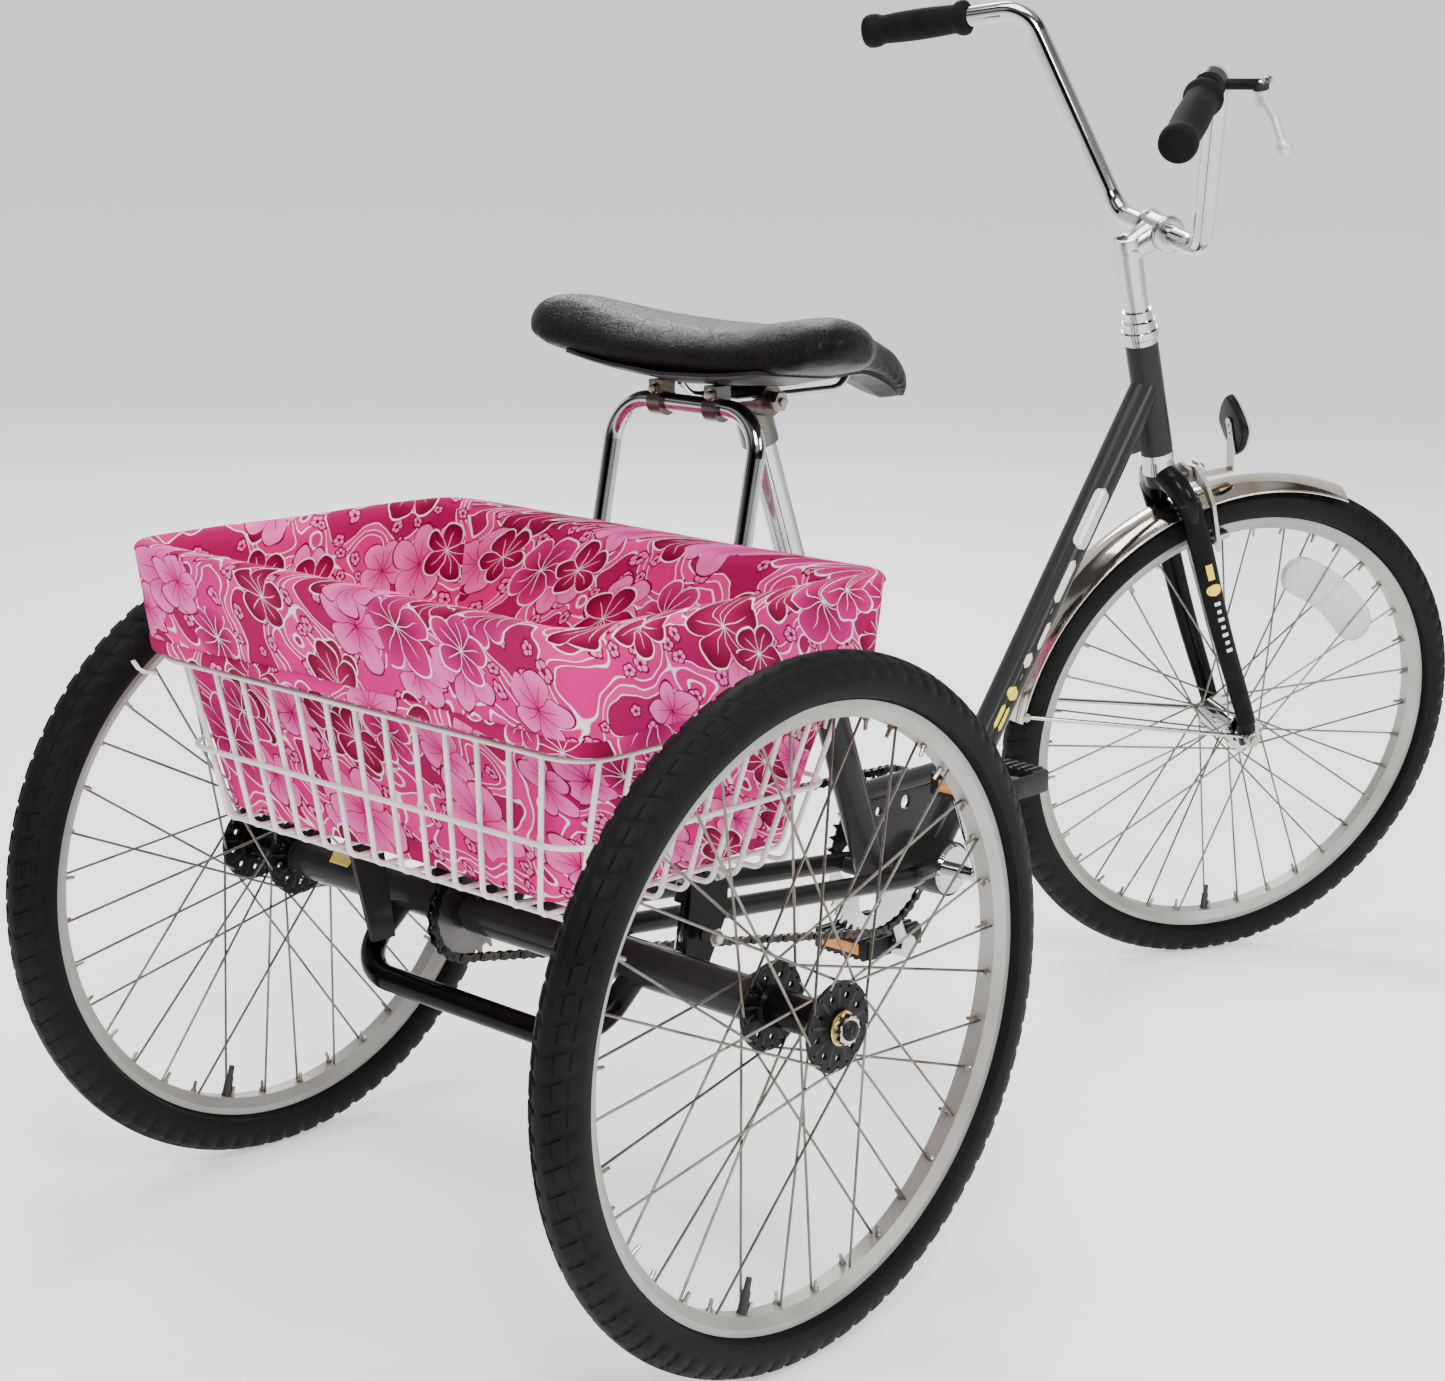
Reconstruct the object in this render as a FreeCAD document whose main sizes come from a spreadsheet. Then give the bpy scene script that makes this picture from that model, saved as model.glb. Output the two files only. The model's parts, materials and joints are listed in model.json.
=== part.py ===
# Adult tricycle, modelled as an assembly of separate pieces.
# Units are millimetres. X points forward, Y to the rider's left, Z up.
# Inside this file lengths along X are first measured from the rear axle; the last section
# moves everything so that the origin is on the ground under the middle of the whole tricycle.
import FreeCAD, Part
import math
import os
import Sketcher

App = FreeCAD
V = App.Vector
doc = App.newDocument("adult_tricycle")
sheet = doc.addObject("Spreadsheet::Sheet", "Sizes")

SIZES = {
    # overall layout
    "track": 667.0, "wheelbase": 1153.0, "wheel_radius": 298.0, "head_angle": 70.8,
    "fork_rake": 44.0, "steer_now": -27.7,
    # wheels
    "tyre_width": 47.0, "tyre_depth": 43.0, "rim_radius": 260.0, "rim_width": 28.0, "rim_depth": 15.0,
    "rim_wall": 2.5, "hub_flange_radius": 38.0, "hub_flange_gap": 66.0, "hub_flange_thick": 3.5,
    "hub_barrel_radius": 16.0, "front_flange_radius": 24.0, "front_flange_gap": 60.0,
    "front_barrel_radius": 12.0, "spoke_radius": 1.2, "spoke_pairs": 18.0,
    # rear axle and its carrier
    "axle_radius": 7.5, "running_gap": 0.05, "carrier_radius": 19.0, "carrier_wall": 2.5,
    "carrier_half": 288.0, "bay_right": 52.0, "bay_left": 84.0, "chain_line": 60.0,
    "nut_across": 22.0, "nut_height": 7.0, "washer_radius": 14.0, "washer_thick": 2.5, "end_play": 0.3,
    # frame
    "bracket_ahead": 592.0, "bracket_height": 232.0, "bracket_radius": 29.0, "bracket_half": 34.0,
    "bracket_wall": 3.5, "down_radius": 17.0, "down_meets": 452.0, "head_radius": 18.5,
    "head_length": 132.0, "head_low": 370.0, "head_bore": 15.0, "seat_tube_radius": 17.0,
    "seat_lean": 67.6, "seat_foot": 505.0, "brace_radius": 11.0,
    "brace_height": 328.0, "stay_radius": 10.0, "stay_bracket_half": 20.0, "stay_axle_half": 42.0,
    "web_thick": 4.0, "step_radius": 11.5, "step_half": 148.0, "step_back": 62.0,
    "step_height": 238.0, "step_bend": 48.0,
    # chain drive
    "chain_pitch": 12.7, "ring_teeth": 44.0, "sprocket_teeth": 22.0, "ring_thick": 2.0,
    "chain_plate": 1.2, "chain_half": 2.6, "chain_depth": 8.6,
    "crank_length": 138.0, "crank_angle": -63.0, "crank_radius": 7.5, "crank_out": 74.5,
    "pedal_length": 98.0, "pedal_width": 78.0, "pedal_height": 26.0, "pedal_pin_radius": 5.0,
    # saddle and its supports
    "post_radius": 14.3, "post_wall": 1.6, "saddle_height": 765.0, "saddle_half": 193.0,
    "saddle_back": 165.0, "saddle_nose": 511.0, "strut_radius": 8.5,
    "strut_half": 88.0, "strut_ahead": 213.0, "strut_top": 742.0, "strut_lean": 0.19,
    "strut_bend": 40.0, "strut_foot": 318.0, "strut_end": 262.0, "seat_tube_top": 543.0,
    # basket
    "basket_centre": -17.0, "basket_floor": 383.0, "basket_rim": 622.0, "floor_half_x": 148.0,
    "floor_half_y": 222.0, "rim_half_x": 188.0, "rim_half_y": 268.0, "wire_radius": 2.4,
    "rim_wire_radius": 3.5, "liner_thick": 3.0, "skirt_drop": 98.0, "wall_wires": 13.0, "side_wires": 9.0,
    # steering
    "steerer_radius": 12.7, "crown_low": 318.0, "crown_high": 346.0, "blade_half": 43.0,
    "blade_radius": 11.0, "dropout_thick": 5.0, "quill_radius": 11.1, "neck_knee": 607.0,
    "clamp_ahead": 40.0, "clamp_up": 619.0, "bar_radius": 11.1, "bar_low_half": 90.0,
    "bar_high": 839.0, "bar_high_half": 206.0, "bar_high_ahead": 22.0, "grip_length": 125.0,
    "grip_radius": 16.5, "grip_flange_radius": 19.0, "bar_bend": 42.0,
    "fender_radius": 308.0, "fender_thick": 1.5, "fender_half": 29.0, "fender_front": 54.0,
    "fender_rear": 157.0,
}
for row, (alias, amount) in enumerate(SIZES.items(), start=1):
    sheet.set("A%d" % row, alias)
    sheet.set("B%d" % row, str(amount))
    sheet.setAlias("B%d" % row, alias)
doc.recompute()


class Size:
    """A length from the sheet: its value now, and the expression that a feature is bound to."""

    def __init__(self, value, text):
        self.value = float(value)
        self.text = text

    def _with(self, other, sign, result):
        text = other.text if isinstance(other, Size) else repr(float(other))
        return Size(result, "(%s %s %s)" % (self.text, sign, text))

    def __float__(self):
        return self.value

    def __add__(self, other):
        return self._with(other, "+", self.value + float(other))

    def __sub__(self, other):
        return self._with(other, "-", self.value - float(other))

    def __mul__(self, other):
        return self._with(other, "*", self.value * float(other))

    def __truediv__(self, other):
        return self._with(other, "/", self.value / float(other))

    def __neg__(self):
        return Size(-self.value, "(-%s)" % self.text)


def size(alias):
    return Size(sheet.get(alias), "Sizes." + alias)


def mm(alias):
    return float(sheet.get(alias))


def bind(item, prop, amount):
    """Tie a property or a sketch dimension to the sheet, or set it where it is a plain number."""
    if isinstance(amount, Size):
        item.setExpression(prop, amount.text)
    else:
        setattr(item, prop, amount)


# ---------------------------------------------------------------- ways of making a piece
NODES = {}


def keep(label, item, placement=None):
    """Name a finished piece; its Label is also the name of its file."""
    item.Label = label
    if placement is not None:
        item.Placement = placement
    NODES[label] = item
    return item


def facing(point, direction):
    """Placement that carries the Z axis to a direction and the origin to a point."""
    return App.Placement(point, App.Rotation(V(0, 0, 1), direction))


def origin_plane(body, role):
    for plane in body.Origin.OriginFeatures:
        if plane.Role == role:
            return plane
    raise RuntimeError("no plane " + role)


def outline_sketch(body, name, role, corners):
    """Closed outline of straight edges, each corner held by two dimensions from the origin."""
    sketch = body.newObject("Sketcher::SketchObject", name)
    sketch.AttachmentSupport = [(origin_plane(body, role), "")]
    sketch.MapMode = "FlatFace"
    spots = [V(float(u), float(v), 0) for u, v in corners]
    for start, end in zip(spots, spots[1:] + spots[:1]):
        sketch.addGeometry(Part.LineSegment(start, end), False)
    count = len(corners)
    for edge in range(count):
        sketch.addConstraint(Sketcher.Constraint("Coincident", edge, 2, (edge + 1) % count, 1))
    for edge, (u, v) in enumerate(corners):
        for kind, amount in (("DistanceX", u), ("DistanceY", v)):
            number = sketch.addConstraint(Sketcher.Constraint(kind, -1, 1, edge, 1, float(amount)))
            if isinstance(amount, Size):
                sketch.setExpression("Constraints[%d]" % number, amount.text)
    return sketch


def turned(name, corners, placement=None):
    """Body of revolution about Z from corners given as (radius, height)."""
    body = doc.addObject("PartDesign::Body", name + "_body")
    sketch = outline_sketch(body, name + "_outline", "XZ_Plane", corners)
    spun = body.newObject("PartDesign::Revolution", name + "_turned")
    spun.Profile = sketch
    spun.ReferenceAxis = (sketch, ["V_Axis"])
    spun.Angle = 360.0
    body.Tip = spun
    if placement is not None:
        body.Placement = placement
    return body


def lathe(label, corners, placement=None):
    return keep(label, turned(label, corners, placement))


def plate(name, corners, thickness, placement=None, role="XZ_Plane"):
    """Flat plate: an outline padded half each way from its plane."""
    body = doc.addObject("PartDesign::Body", name + "_body")
    sketch = outline_sketch(body, name + "_outline", role, corners)
    pad = body.newObject("PartDesign::Pad", name + "_pad")
    pad.Profile = sketch
    bind(pad, "Length", thickness)
    pad.Midplane = True
    body.Tip = pad
    if placement is not None:
        body.Placement = placement
    return body


def rod(name, radius, length, placement):
    """A parametric cylinder, used as it is or as a tool."""
    item = doc.addObject("Part::Cylinder", name)
    bind(item, "Radius", radius)
    bind(item, "Height", length)
    item.Placement = placement
    return item


def cut(name, base, *tools):
    """Take tools away from a piece one after another."""
    for number, tool in enumerate(tools, start=1):
        item = doc.addObject("Part::Cut", "%s_cut_%d" % (name, number))
        item.Base = base
        item.Tool = tool
        base = item
    return base


def fuse(name, *pieces):
    item = doc.addObject("Part::MultiFuse", name)
    item.Shapes = list(pieces)
    return item


def group(label, pieces, placement=None):
    """Several solids that make one node."""
    item = doc.addObject("Part::Compound", label + "_group")
    item.Links = pieces
    return keep(label, item, placement)


def ring(name, radius, bore, length, placement):
    return cut(name, rod(name + "_out", radius, length, placement),
               rod(name + "_bore", bore, length, placement))


def block(name, low, high, placement=None):
    """Box between two corners given in its own frame."""
    item = doc.addObject("Part::Box", name)
    item.Length, item.Width, item.Height = high - low
    item.Placement = (placement or App.Placement()).multiply(App.Placement(low, App.Rotation()))
    return item


def feature(label, shape, placement=None):
    """A shape made with Part's own functions, for what no parametric feature fits."""
    item = doc.addObject("Part::Feature", label + "_shape")
    item.Shape = shape
    return keep(label, item, placement)


def between(name, start, end, radius):
    """Cylinder from one point to another."""
    run = end - start
    return rod(name, radius, run.Length, facing(start, run))


def tube(name, start, end, radius, wall, *copes):
    """Tube between two points, its ends fitted round the members it is welded to."""
    bore = between(name + "_bore", start, end, radius - wall)
    return cut(name, between(name + "_out", start, end, radius), bore, *copes)


def rounded_path(points, radii):
    """Wire through points, with a tangent arc of its own radius at each inner point."""
    edges = []
    last = points[0]
    for before, corner, after, radius in zip(points, points[1:], points[2:], radii):
        back = (before - corner).normalize()
        ahead = (after - corner).normalize()
        half = back.getAngle(ahead) / 2
        reach = radius / math.tan(half)
        middle = corner + (back + ahead).normalize() * (radius / math.sin(half) - radius)
        start = corner + back * reach
        end = corner + ahead * reach
        edges.append(Part.LineSegment(last, start).toShape())
        edges.append(Part.Arc(start, middle, end).toShape())
        last = end
    edges.append(Part.LineSegment(last, points[-1]).toShape())
    return Part.Wire(edges)


def ring_wire(centre, direction, radius):
    return Part.Wire([Part.Circle(centre, direction, radius).toShape()])


def bent_bar(points, radii, radius):
    """Round bar or the outside of a tube along a bent path."""
    path = rounded_path(points, radii)
    return path.makePipeShell([ring_wire(points[0], points[1] - points[0], radius)], True, False)


def loop_bar(wire, radius):
    """Round bar along a closed loop."""
    edge = wire.OrderedEdges[0]
    spot = edge.valueAt(edge.FirstParameter)
    along = edge.tangentAt(edge.FirstParameter)
    return wire.makePipeShell([ring_wire(spot, along, radius)], True, False)


def rounded_loop(half_x, half_y, corner, centre):
    """Rectangle with round corners, flat at one height."""
    edges = []
    turn = corner * (1 - math.sqrt(0.5))
    for sx, sy in ((1, -1), (1, 1), (-1, 1), (-1, -1)):
        on_x = V(sx * half_x, sy * (half_y - corner), 0)
        on_y = V(sx * (half_x - corner), sy * half_y, 0)
        bend = V(sx * (half_x - turn), sy * (half_y - turn), 0)
        start, end = (on_x, on_y) if sx * sy > 0 else (on_y, on_x)
        edges.append((centre + start, centre + bend, centre + end))
    parts = []
    for (start, bend, end), following in zip(edges, edges[1:] + edges[:1]):
        parts.append(Part.Arc(start, bend, end).toShape())
        parts.append(Part.LineSegment(end, following[0]).toShape())
    return Part.Wire(parts)


def solid_group(shapes):
    return Part.makeCompound(shapes)


# ---------------------------------------------------------------- axes that pieces are placed on
head_angle = math.radians(mm("head_angle"))
steer_now = math.radians(mm("steer_now"))
UP_HEAD = V(-math.cos(head_angle), 0, math.sin(head_angle))
FORE_HEAD = V(math.sin(head_angle), 0, math.cos(head_angle))
# The turned front wheel leans; its axle is as high as makes the leaning tyre touch the ground.
lean = math.cos(head_angle) * math.sin(steer_now)
front_axle_height = ((mm("wheel_radius") - mm("tyre_width") / 2) * math.sqrt(1 - lean * lean)
                     + mm("tyre_width") / 2
                     + mm("fork_rake") * math.cos(head_angle) * (1 - math.cos(steer_now)))
HEAD_FOOT = V(mm("wheelbase"), 0, front_axle_height) - FORE_HEAD * mm("fork_rake")
HEAD_STRAIGHT = App.Placement(HEAD_FOOT, App.Rotation(V(0, 1, 0), mm("head_angle") - 90))
# Steering pieces are drawn with Z up the steering axis, X forward and the origin at its foot.
STEERED = HEAD_STRAIGHT.multiply(App.Placement(V(), App.Rotation(V(0, 0, 1), mm("steer_now"))))
AXLE = V(0, 0, mm("wheel_radius"))
ACROSS = App.Rotation(V(0, 0, 1), V(0, 1, 0))
BRACKET = V(mm("bracket_ahead"), 0, mm("bracket_height"))
seat_lean = math.radians(mm("seat_lean"))
UP_SEAT = V(-math.cos(seat_lean), 0, math.sin(seat_lean))
SEAT_FOOT = V(mm("seat_foot"), 0, mm("bracket_height"))


def on_seat_axis(height):
    return SEAT_FOOT + UP_SEAT * ((height - mm("bracket_height")) / math.sin(seat_lean))


def across(x, y, z):
    """Placement with Z turned to point left, for wheels, axles and the crank."""
    return App.Placement(V(x, y, z), ACROSS)


# ---------------------------------------------------------------- wheels
def tyre(label, placement):
    """Balloon tyre: round casing with its hollow, open on the bead seat of the rim."""
    outer = mm("wheel_radius")
    half = mm("tyre_width") / 2
    depth = mm("tyre_depth")
    bead = outer - depth
    rim_half = mm("rim_width") / 2 - mm("rim_wall")
    crown = Part.Arc(V(outer - half * 0.95, 0, -half), V(outer, 0, 0), V(outer - half * 0.95, 0, half))
    low = V(outer - half * 0.95, 0, -half)
    high = V(outer - half * 0.95, 0, half)
    shoulder = mm("rim_radius") + 0.3
    corners = [high, V(shoulder, 0, rim_half + 1.5), V(shoulder, 0, rim_half), V(bead, 0, rim_half),
               V(bead, 0, -rim_half), V(shoulder, 0, -rim_half), V(shoulder, 0, -rim_half - 1.5), low]
    sides = [Part.LineSegment(start, end).toShape() for start, end in zip(corners, corners[1:])]
    face = Part.Face(Part.Wire([crown.toShape()] + sides))
    return feature(label, face.revolve(V(), V(0, 0, 1), 360), placement)


def rim(label, placement):
    """Hook-sided rim channel: floor with spoke seats, two side walls and a shallow well."""
    top = size("rim_radius")
    half = size("rim_width") / 2
    floor = size("rim_radius") - size("rim_depth")
    bed = size("wheel_radius") - size("tyre_depth")
    inside = half - size("rim_wall")
    return lathe(label, [(floor, half * 0.55), (floor, -(half * 0.55)), (top - 6, -half), (top, -half),
                         (top, -inside), (bed, -inside), (bed, inside), (top, inside),
                         (top, half), (top - 6, half)], placement)


def hub(label, flange_radius, flange_gap, flange_thick, barrel_radius, bore, ends, placement):
    """One-piece hub shell: two flanges on a barrel, with a bearing bore."""
    near = flange_gap / 2
    far = near + flange_thick
    return lathe(label, [(bore, -ends), (barrel_radius * 0.8, -ends), (barrel_radius, -far),
                         (flange_radius, -far), (flange_radius, -near), (barrel_radius, -near),
                         (barrel_radius, near), (flange_radius, near), (flange_radius, far),
                         (barrel_radius, far), (barrel_radius * 0.8, ends), (bore, ends)], placement)


def spokes(label, flange_radius, flange_gap, placement):
    """Crossed spokes between the flanges and the rim, one loose solid each."""
    made = []
    pairs = int(mm("spoke_pairs"))
    rim_at = mm("rim_radius") - mm("rim_depth") + 1.5
    hub_at = flange_radius - 2.6
    offset = flange_gap / 2 + mm("hub_flange_thick") / 2
    for side in (-1, 1):
        for number in range(pairs):
            lead = 1 if number % 2 else -1
            rim_turn = 2 * math.pi * (number + (0.25 if side > 0 else -0.25)) / pairs
            hub_turn = rim_turn + lead * math.radians(66)
            start = V(hub_at * math.cos(hub_turn), hub_at * math.sin(hub_turn), side * offset)
            end = V(rim_at * math.cos(rim_turn), rim_at * math.sin(rim_turn), side * 3)
            run = end - start
            made.append(Part.makeCylinder(mm("spoke_radius"), run.Length, start + V(0, 0, lead * 1.35), run))
    return feature(label, solid_group(made), placement)


def wheel(prefix, placement, flange_radius, flange_gap, flange_thick, barrel_radius, bore, ends):
    tyre(prefix + "_tyre", placement)
    rim(prefix + "_rim", placement)
    hub(prefix + "_hub", flange_radius, flange_gap, flange_thick, barrel_radius, bore, ends, placement)
    spokes(prefix + "_spokes", float(flange_radius), float(flange_gap), placement)


half_track = mm("track") / 2
rear_hub = dict(flange_radius=size("hub_flange_radius"), flange_gap=size("hub_flange_gap"),
                flange_thick=size("hub_flange_thick"), barrel_radius=size("hub_barrel_radius"))
hub_ends = size("hub_flange_gap") / 2 + 5.5
wheel("left", across(0, half_track, mm("wheel_radius")),
      bore=size("axle_radius") + size("running_gap"), ends=hub_ends, **rear_hub)
wheel("right", across(0, -half_track, mm("wheel_radius")),
      bore=size("axle_radius"), ends=hub_ends, **rear_hub)
FRONT_HUB = STEERED.multiply(App.Placement(V(mm("fork_rake"), 0, 0), ACROSS))
front_axle_radius = 4.8
front_hub_ends = size("front_flange_gap") / 2 + 6
wheel("front", FRONT_HUB, size("front_flange_radius"), size("front_flange_gap"),
      size("hub_flange_thick"), size("front_barrel_radius"),
      size("running_gap") + front_axle_radius, front_hub_ends)

# ---------------------------------------------------------------- rear axle and its carrier
LEFTWARD = V(0, 1, 0)
RIGHTWARD = V(0, -1, 0)
axle_radius = size("axle_radius")
running = axle_radius + size("running_gap")
axle_z = mm("wheel_radius")


def along_axle(y, direction=LEFTWARD):
    return facing(V(0, y, axle_z), direction)


def end_nut(prefix, start, direction):
    """Washer, hexagon nut and domed cap outside a hub."""
    face = start + direction.y * mm("washer_thick")
    cap_face = face + direction.y * mm("nut_height")
    washer = ring(prefix + "_washer", size("washer_radius"), axle_radius, size("washer_thick"),
                  along_axle(start, direction))
    nut = doc.addObject("Part::Prism", prefix + "_hexagon")
    nut.Polygon = 6
    bind(nut, "Circumradius", size("nut_across") / math.sqrt(3))
    bind(nut, "Height", size("nut_height"))
    nut.Placement = along_axle(face, direction)
    bore = rod(prefix + "_thread", axle_radius, size("nut_height"), along_axle(face, direction))
    cap = doc.addObject("Part::Cone", prefix + "_dome")
    bind(cap, "Radius1", axle_radius + 1.0)
    bind(cap, "Radius2", axle_radius - 3.0)
    cap.Height = 5.0
    cap.Placement = along_axle(cap_face, direction)
    return [washer, cut(prefix + "_nut", nut, bore), cap], cap_face


outer_face = half_track + float(hub_ends)
drive_start = mm("bay_left") + 26
right_parts, right_tip = end_nut("right", -outer_face, RIGHTWARD)
shaft = between("drive_shaft", V(0, right_tip, axle_z), V(0, drive_start, axle_z), axle_radius)
group("drive_axle", [shaft] + right_parts)
left_parts, left_tip = end_nut("left", outer_face + mm("end_play"), LEFTWARD)
stub = between("stub_shaft", V(0, drive_start + 70, axle_z), V(0, left_tip, axle_z), axle_radius)
group("stub_axle", [stub] + left_parts)

carrier_radius = size("carrier_radius")
carrier_bore = carrier_radius - size("carrier_wall")
carrier_half = mm("carrier_half")
right_tube = ring("carrier_right", carrier_radius, carrier_bore, size("carrier_half") + size("bay_right"),
                  along_axle(-carrier_half))
left_tube = ring("carrier_left", carrier_radius, carrier_bore, size("carrier_half") - size("bay_left"),
                 along_axle(mm("bay_left")))
# An arch over the sprocket joins the two tubes; the chain passes between its legs.
arch_low = axle_z + mm("carrier_radius") * 0.8
arch_high = axle_z + 62
arch_in = mm("bay_right") - 11
arch_out = mm("bay_left") + 11
arch = plate("carrier_arch",
             [(arch_in - 5, arch_low), (arch_in, arch_low), (arch_in, arch_high - 5),
              (arch_out, arch_high - 5), (arch_out, arch_low), (arch_out + 5, arch_low),
              (arch_out + 5, arch_high), (arch_in - 5, arch_high)], 22.0, role="YZ_Plane")
arch_copes = [rod("arch_cope_%d" % n, carrier_radius, 40.0, along_axle(y))
              for n, y in enumerate((arch_in - 20, arch_out - 20))]
group("axle_carrier", [right_tube, left_tube, cut("arch", arch, *arch_copes)])


def bearing(name, y, direction, bore, lip, length=14.0):
    """Ring pushed into the carrier from one end, with a lip of its own thickness outside."""
    corners = [(bore, -length), (carrier_bore, -length), (carrier_bore, 0.0)]
    if lip > 0:
        corners += [(carrier_radius, 0.0), (carrier_radius, lip)]
    corners += [(bore, lip)]
    return turned(name, corners, along_axle(y, direction))


hub_inner_face = half_track - float(hub_ends)
lip = hub_inner_face - carrier_half - mm("end_play")
bearings = [bearing("bearing_right", -carrier_half, RIGHTWARD, running, lip - 3),
            bearing("bearing_bay", mm("bay_right"), LEFTWARD, running, 0.0),
            bearing("bearing_far", mm("bay_left"), RIGHTWARD, running, 0.0),
            bearing("bush_inner", drive_start + 84, LEFTWARD, axle_radius, 0.0),
            bearing("bush_left", carrier_half, LEFTWARD, axle_radius, lip, 30.0)]
group("axle_bearings", bearings)

# ---------------------------------------------------------------- frame tubes
bracket_shell = ring("bracket_shell", size("bracket_radius"), size("bracket_radius") - size("bracket_wall"),
                     size("bracket_half") * 2, across(BRACKET.x, -mm("bracket_half"), BRACKET.z))
keep("bracket_shell", bracket_shell)
crank_running = size("crank_radius") + size("running_gap")
cup_outer = size("bracket_radius") - size("bracket_wall")
cups = []
for name, side in (("left_cup", LEFTWARD), ("right_cup", RIGHTWARD)):
    cups.append(turned(name, [(crank_running, -12.0), (cup_outer, -12.0), (cup_outer, 0.0),
                              (cup_outer + 1.5, 0.0), (cup_outer - 1.0, 4.0), (crank_running, 4.0)],
                       facing(BRACKET + side * mm("bracket_half"), side)))
group("bracket_cups", cups)

head_tube = lathe("head_tube", [(size("head_bore"), size("head_low")), (size("head_radius"), size("head_low")),
                                (size("head_radius"), size("head_low") + size("head_length")),
                                (size("head_bore"), size("head_low") + size("head_length"))], HEAD_STRAIGHT)
DOWN_TOP = HEAD_FOOT + UP_HEAD * mm("down_meets")


def bracket_cope(name):
    return rod(name, size("bracket_radius"), 160.0, across(BRACKET.x, -80, BRACKET.z))


def carrier_cope(name):
    return rod(name, carrier_radius, 700.0, along_axle(-350))


def head_cope(name):
    return rod(name, size("head_radius"), 300.0,
               HEAD_STRAIGHT.multiply(App.Placement(V(0, 0, mm("head_low") - 80), App.Rotation())))


def down_cope(name):
    return between(name, BRACKET, DOWN_TOP, size("down_radius"))


def seat_cope(name):
    return between(name, on_seat_axis(200), on_seat_axis(600), size("seat_tube_radius"))


keep("down_tube", tube("down_tube", BRACKET, DOWN_TOP, size("down_radius"), 2.0,
                       bracket_cope("down_cope_low"), head_cope("down_cope_high")))

# Twin stays run back from the bracket beside the tyre-free middle to the axle carrier.
stays = []
for name, side in (("left_stay", 1), ("right_stay", -1)):
    spots = [V(BRACKET.x - 8, side * mm("stay_bracket_half"), BRACKET.z + 2),
             V(BRACKET.x - 78, side * mm("stay_axle_half"), BRACKET.z + 9),
             V(0, side * mm("stay_axle_half"), axle_z - 2)]
    outer = doc.addObject("Part::Feature", name + "_bar")
    outer.Shape = bent_bar(spots, [70.0], mm("stay_radius"))
    inner = doc.addObject("Part::Feature", name + "_hollow")
    inner.Shape = bent_bar(spots, [70.0], mm("stay_radius") - 2)
    stays.append(cut(name, outer, inner, bracket_cope(name + "_cope_front"), carrier_cope(name + "_cope_rear")))
group("chain_stays", stays)

# Seat tube stands on a short bridge between the stays; a brace and a web tie it to the down tube.
bridge_spot = V(mm("seat_foot") - 4, 0, BRACKET.z + 9.5)
bridge_half = mm("stay_axle_half") - mm("stay_radius") + 0.5
bridge = rod("stay_bridge", 9.0, bridge_half * 2, across(bridge_spot.x, -bridge_half, bridge_spot.z))
bridge_cope = rod("bridge_cope", 9.0, 60.0, across(bridge_spot.x, -30, bridge_spot.z))
post_running = size("post_radius") + size("running_gap")
keep("seat_tube", tube("seat_tube", on_seat_axis(BRACKET.z + 16), on_seat_axis(mm("seat_tube_top")),
                       size("seat_tube_radius"), size("seat_tube_radius") - post_running, bridge_cope))
brace_spot = on_seat_axis(mm("brace_height"))
down_run = (mm("brace_height") - BRACKET.z) / (DOWN_TOP.z - BRACKET.z)
brace_end = BRACKET + (DOWN_TOP - BRACKET) * down_run
brace = tube("brace", brace_spot, brace_end, size("brace_radius"), 2.0,
             seat_cope("brace_cope_seat"), down_cope("brace_cope_down"))
crossbar_spot = V(96, 0, 0)
stay_drop = (axle_z - 2 - BRACKET.z - 9) / (BRACKET.x - 78)
crossbar_spot.z = axle_z - 2 - crossbar_spot.x * stay_drop - mm("stay_radius") - 9.4
crossbar_half = 118.0
crossbar = rod("basket_crossbar", 9.5, crossbar_half * 2, across(crossbar_spot.x, -crossbar_half, crossbar_spot.z))
group("frame_braces", [brace, bridge, crossbar])

web = plate("web", [(brace_spot.x + 6, brace_spot.z), (brace_end.x - 4, brace_end.z),
                    (BRACKET.x, BRACKET.z), (bridge_spot.x + 4, bridge_spot.z + 14)], size("web_thick"))
brace_cope = between("web_cope_brace", brace_spot, brace_end, size("brace_radius"))
lightening = [rod("web_hole", 7.5, 20.0, across(brace_spot.x + 86, -10, brace_spot.z - 22)),
              rod("web_slot", 5.0, 20.0, across(brace_spot.x + 42, -10, brace_spot.z - 24))]
web_plate = cut("web_plate", web, brace_cope, seat_cope("web_cope_seat"), bracket_cope("web_cope_bracket"),
                down_cope("web_cope_down"), *lightening)
head_foot_spot = HEAD_FOOT + UP_HEAD * (mm("head_low") + 6)
head_under = HEAD_FOOT + UP_HEAD * (mm("down_meets") - 20)
under_tube = BRACKET + (DOWN_TOP - BRACKET) * 0.83
gusset = plate("head_gusset", [(head_foot_spot.x, head_foot_spot.z), (head_under.x, head_under.z),
                               (under_tube.x, under_tube.z)], size("web_thick"))
head_gusset = cut("head_gusset", gusset, head_cope("gusset_cope_head"), down_cope("gusset_cope_down"))
group("gusset_plates", [web_plate, head_gusset])

collar_low = on_seat_axis(mm("seat_tube_top") - 24)
collar = fuse("collar", rod("collar_ring", size("seat_tube_radius") + 4.5, 24.0, facing(collar_low, UP_SEAT)),
              block("collar_ears", V(-34, -7, 6), V(-15, 7, 20), facing(collar_low, UP_SEAT)),
              rod("collar_bolt", 4.0, 30.0, facing(collar_low, UP_SEAT).multiply(
                  App.Placement(V(-28, -15, 13), ACROSS))))
keep("seat_collar", cut("seat_collar", collar, seat_cope("collar_cope")))

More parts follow.
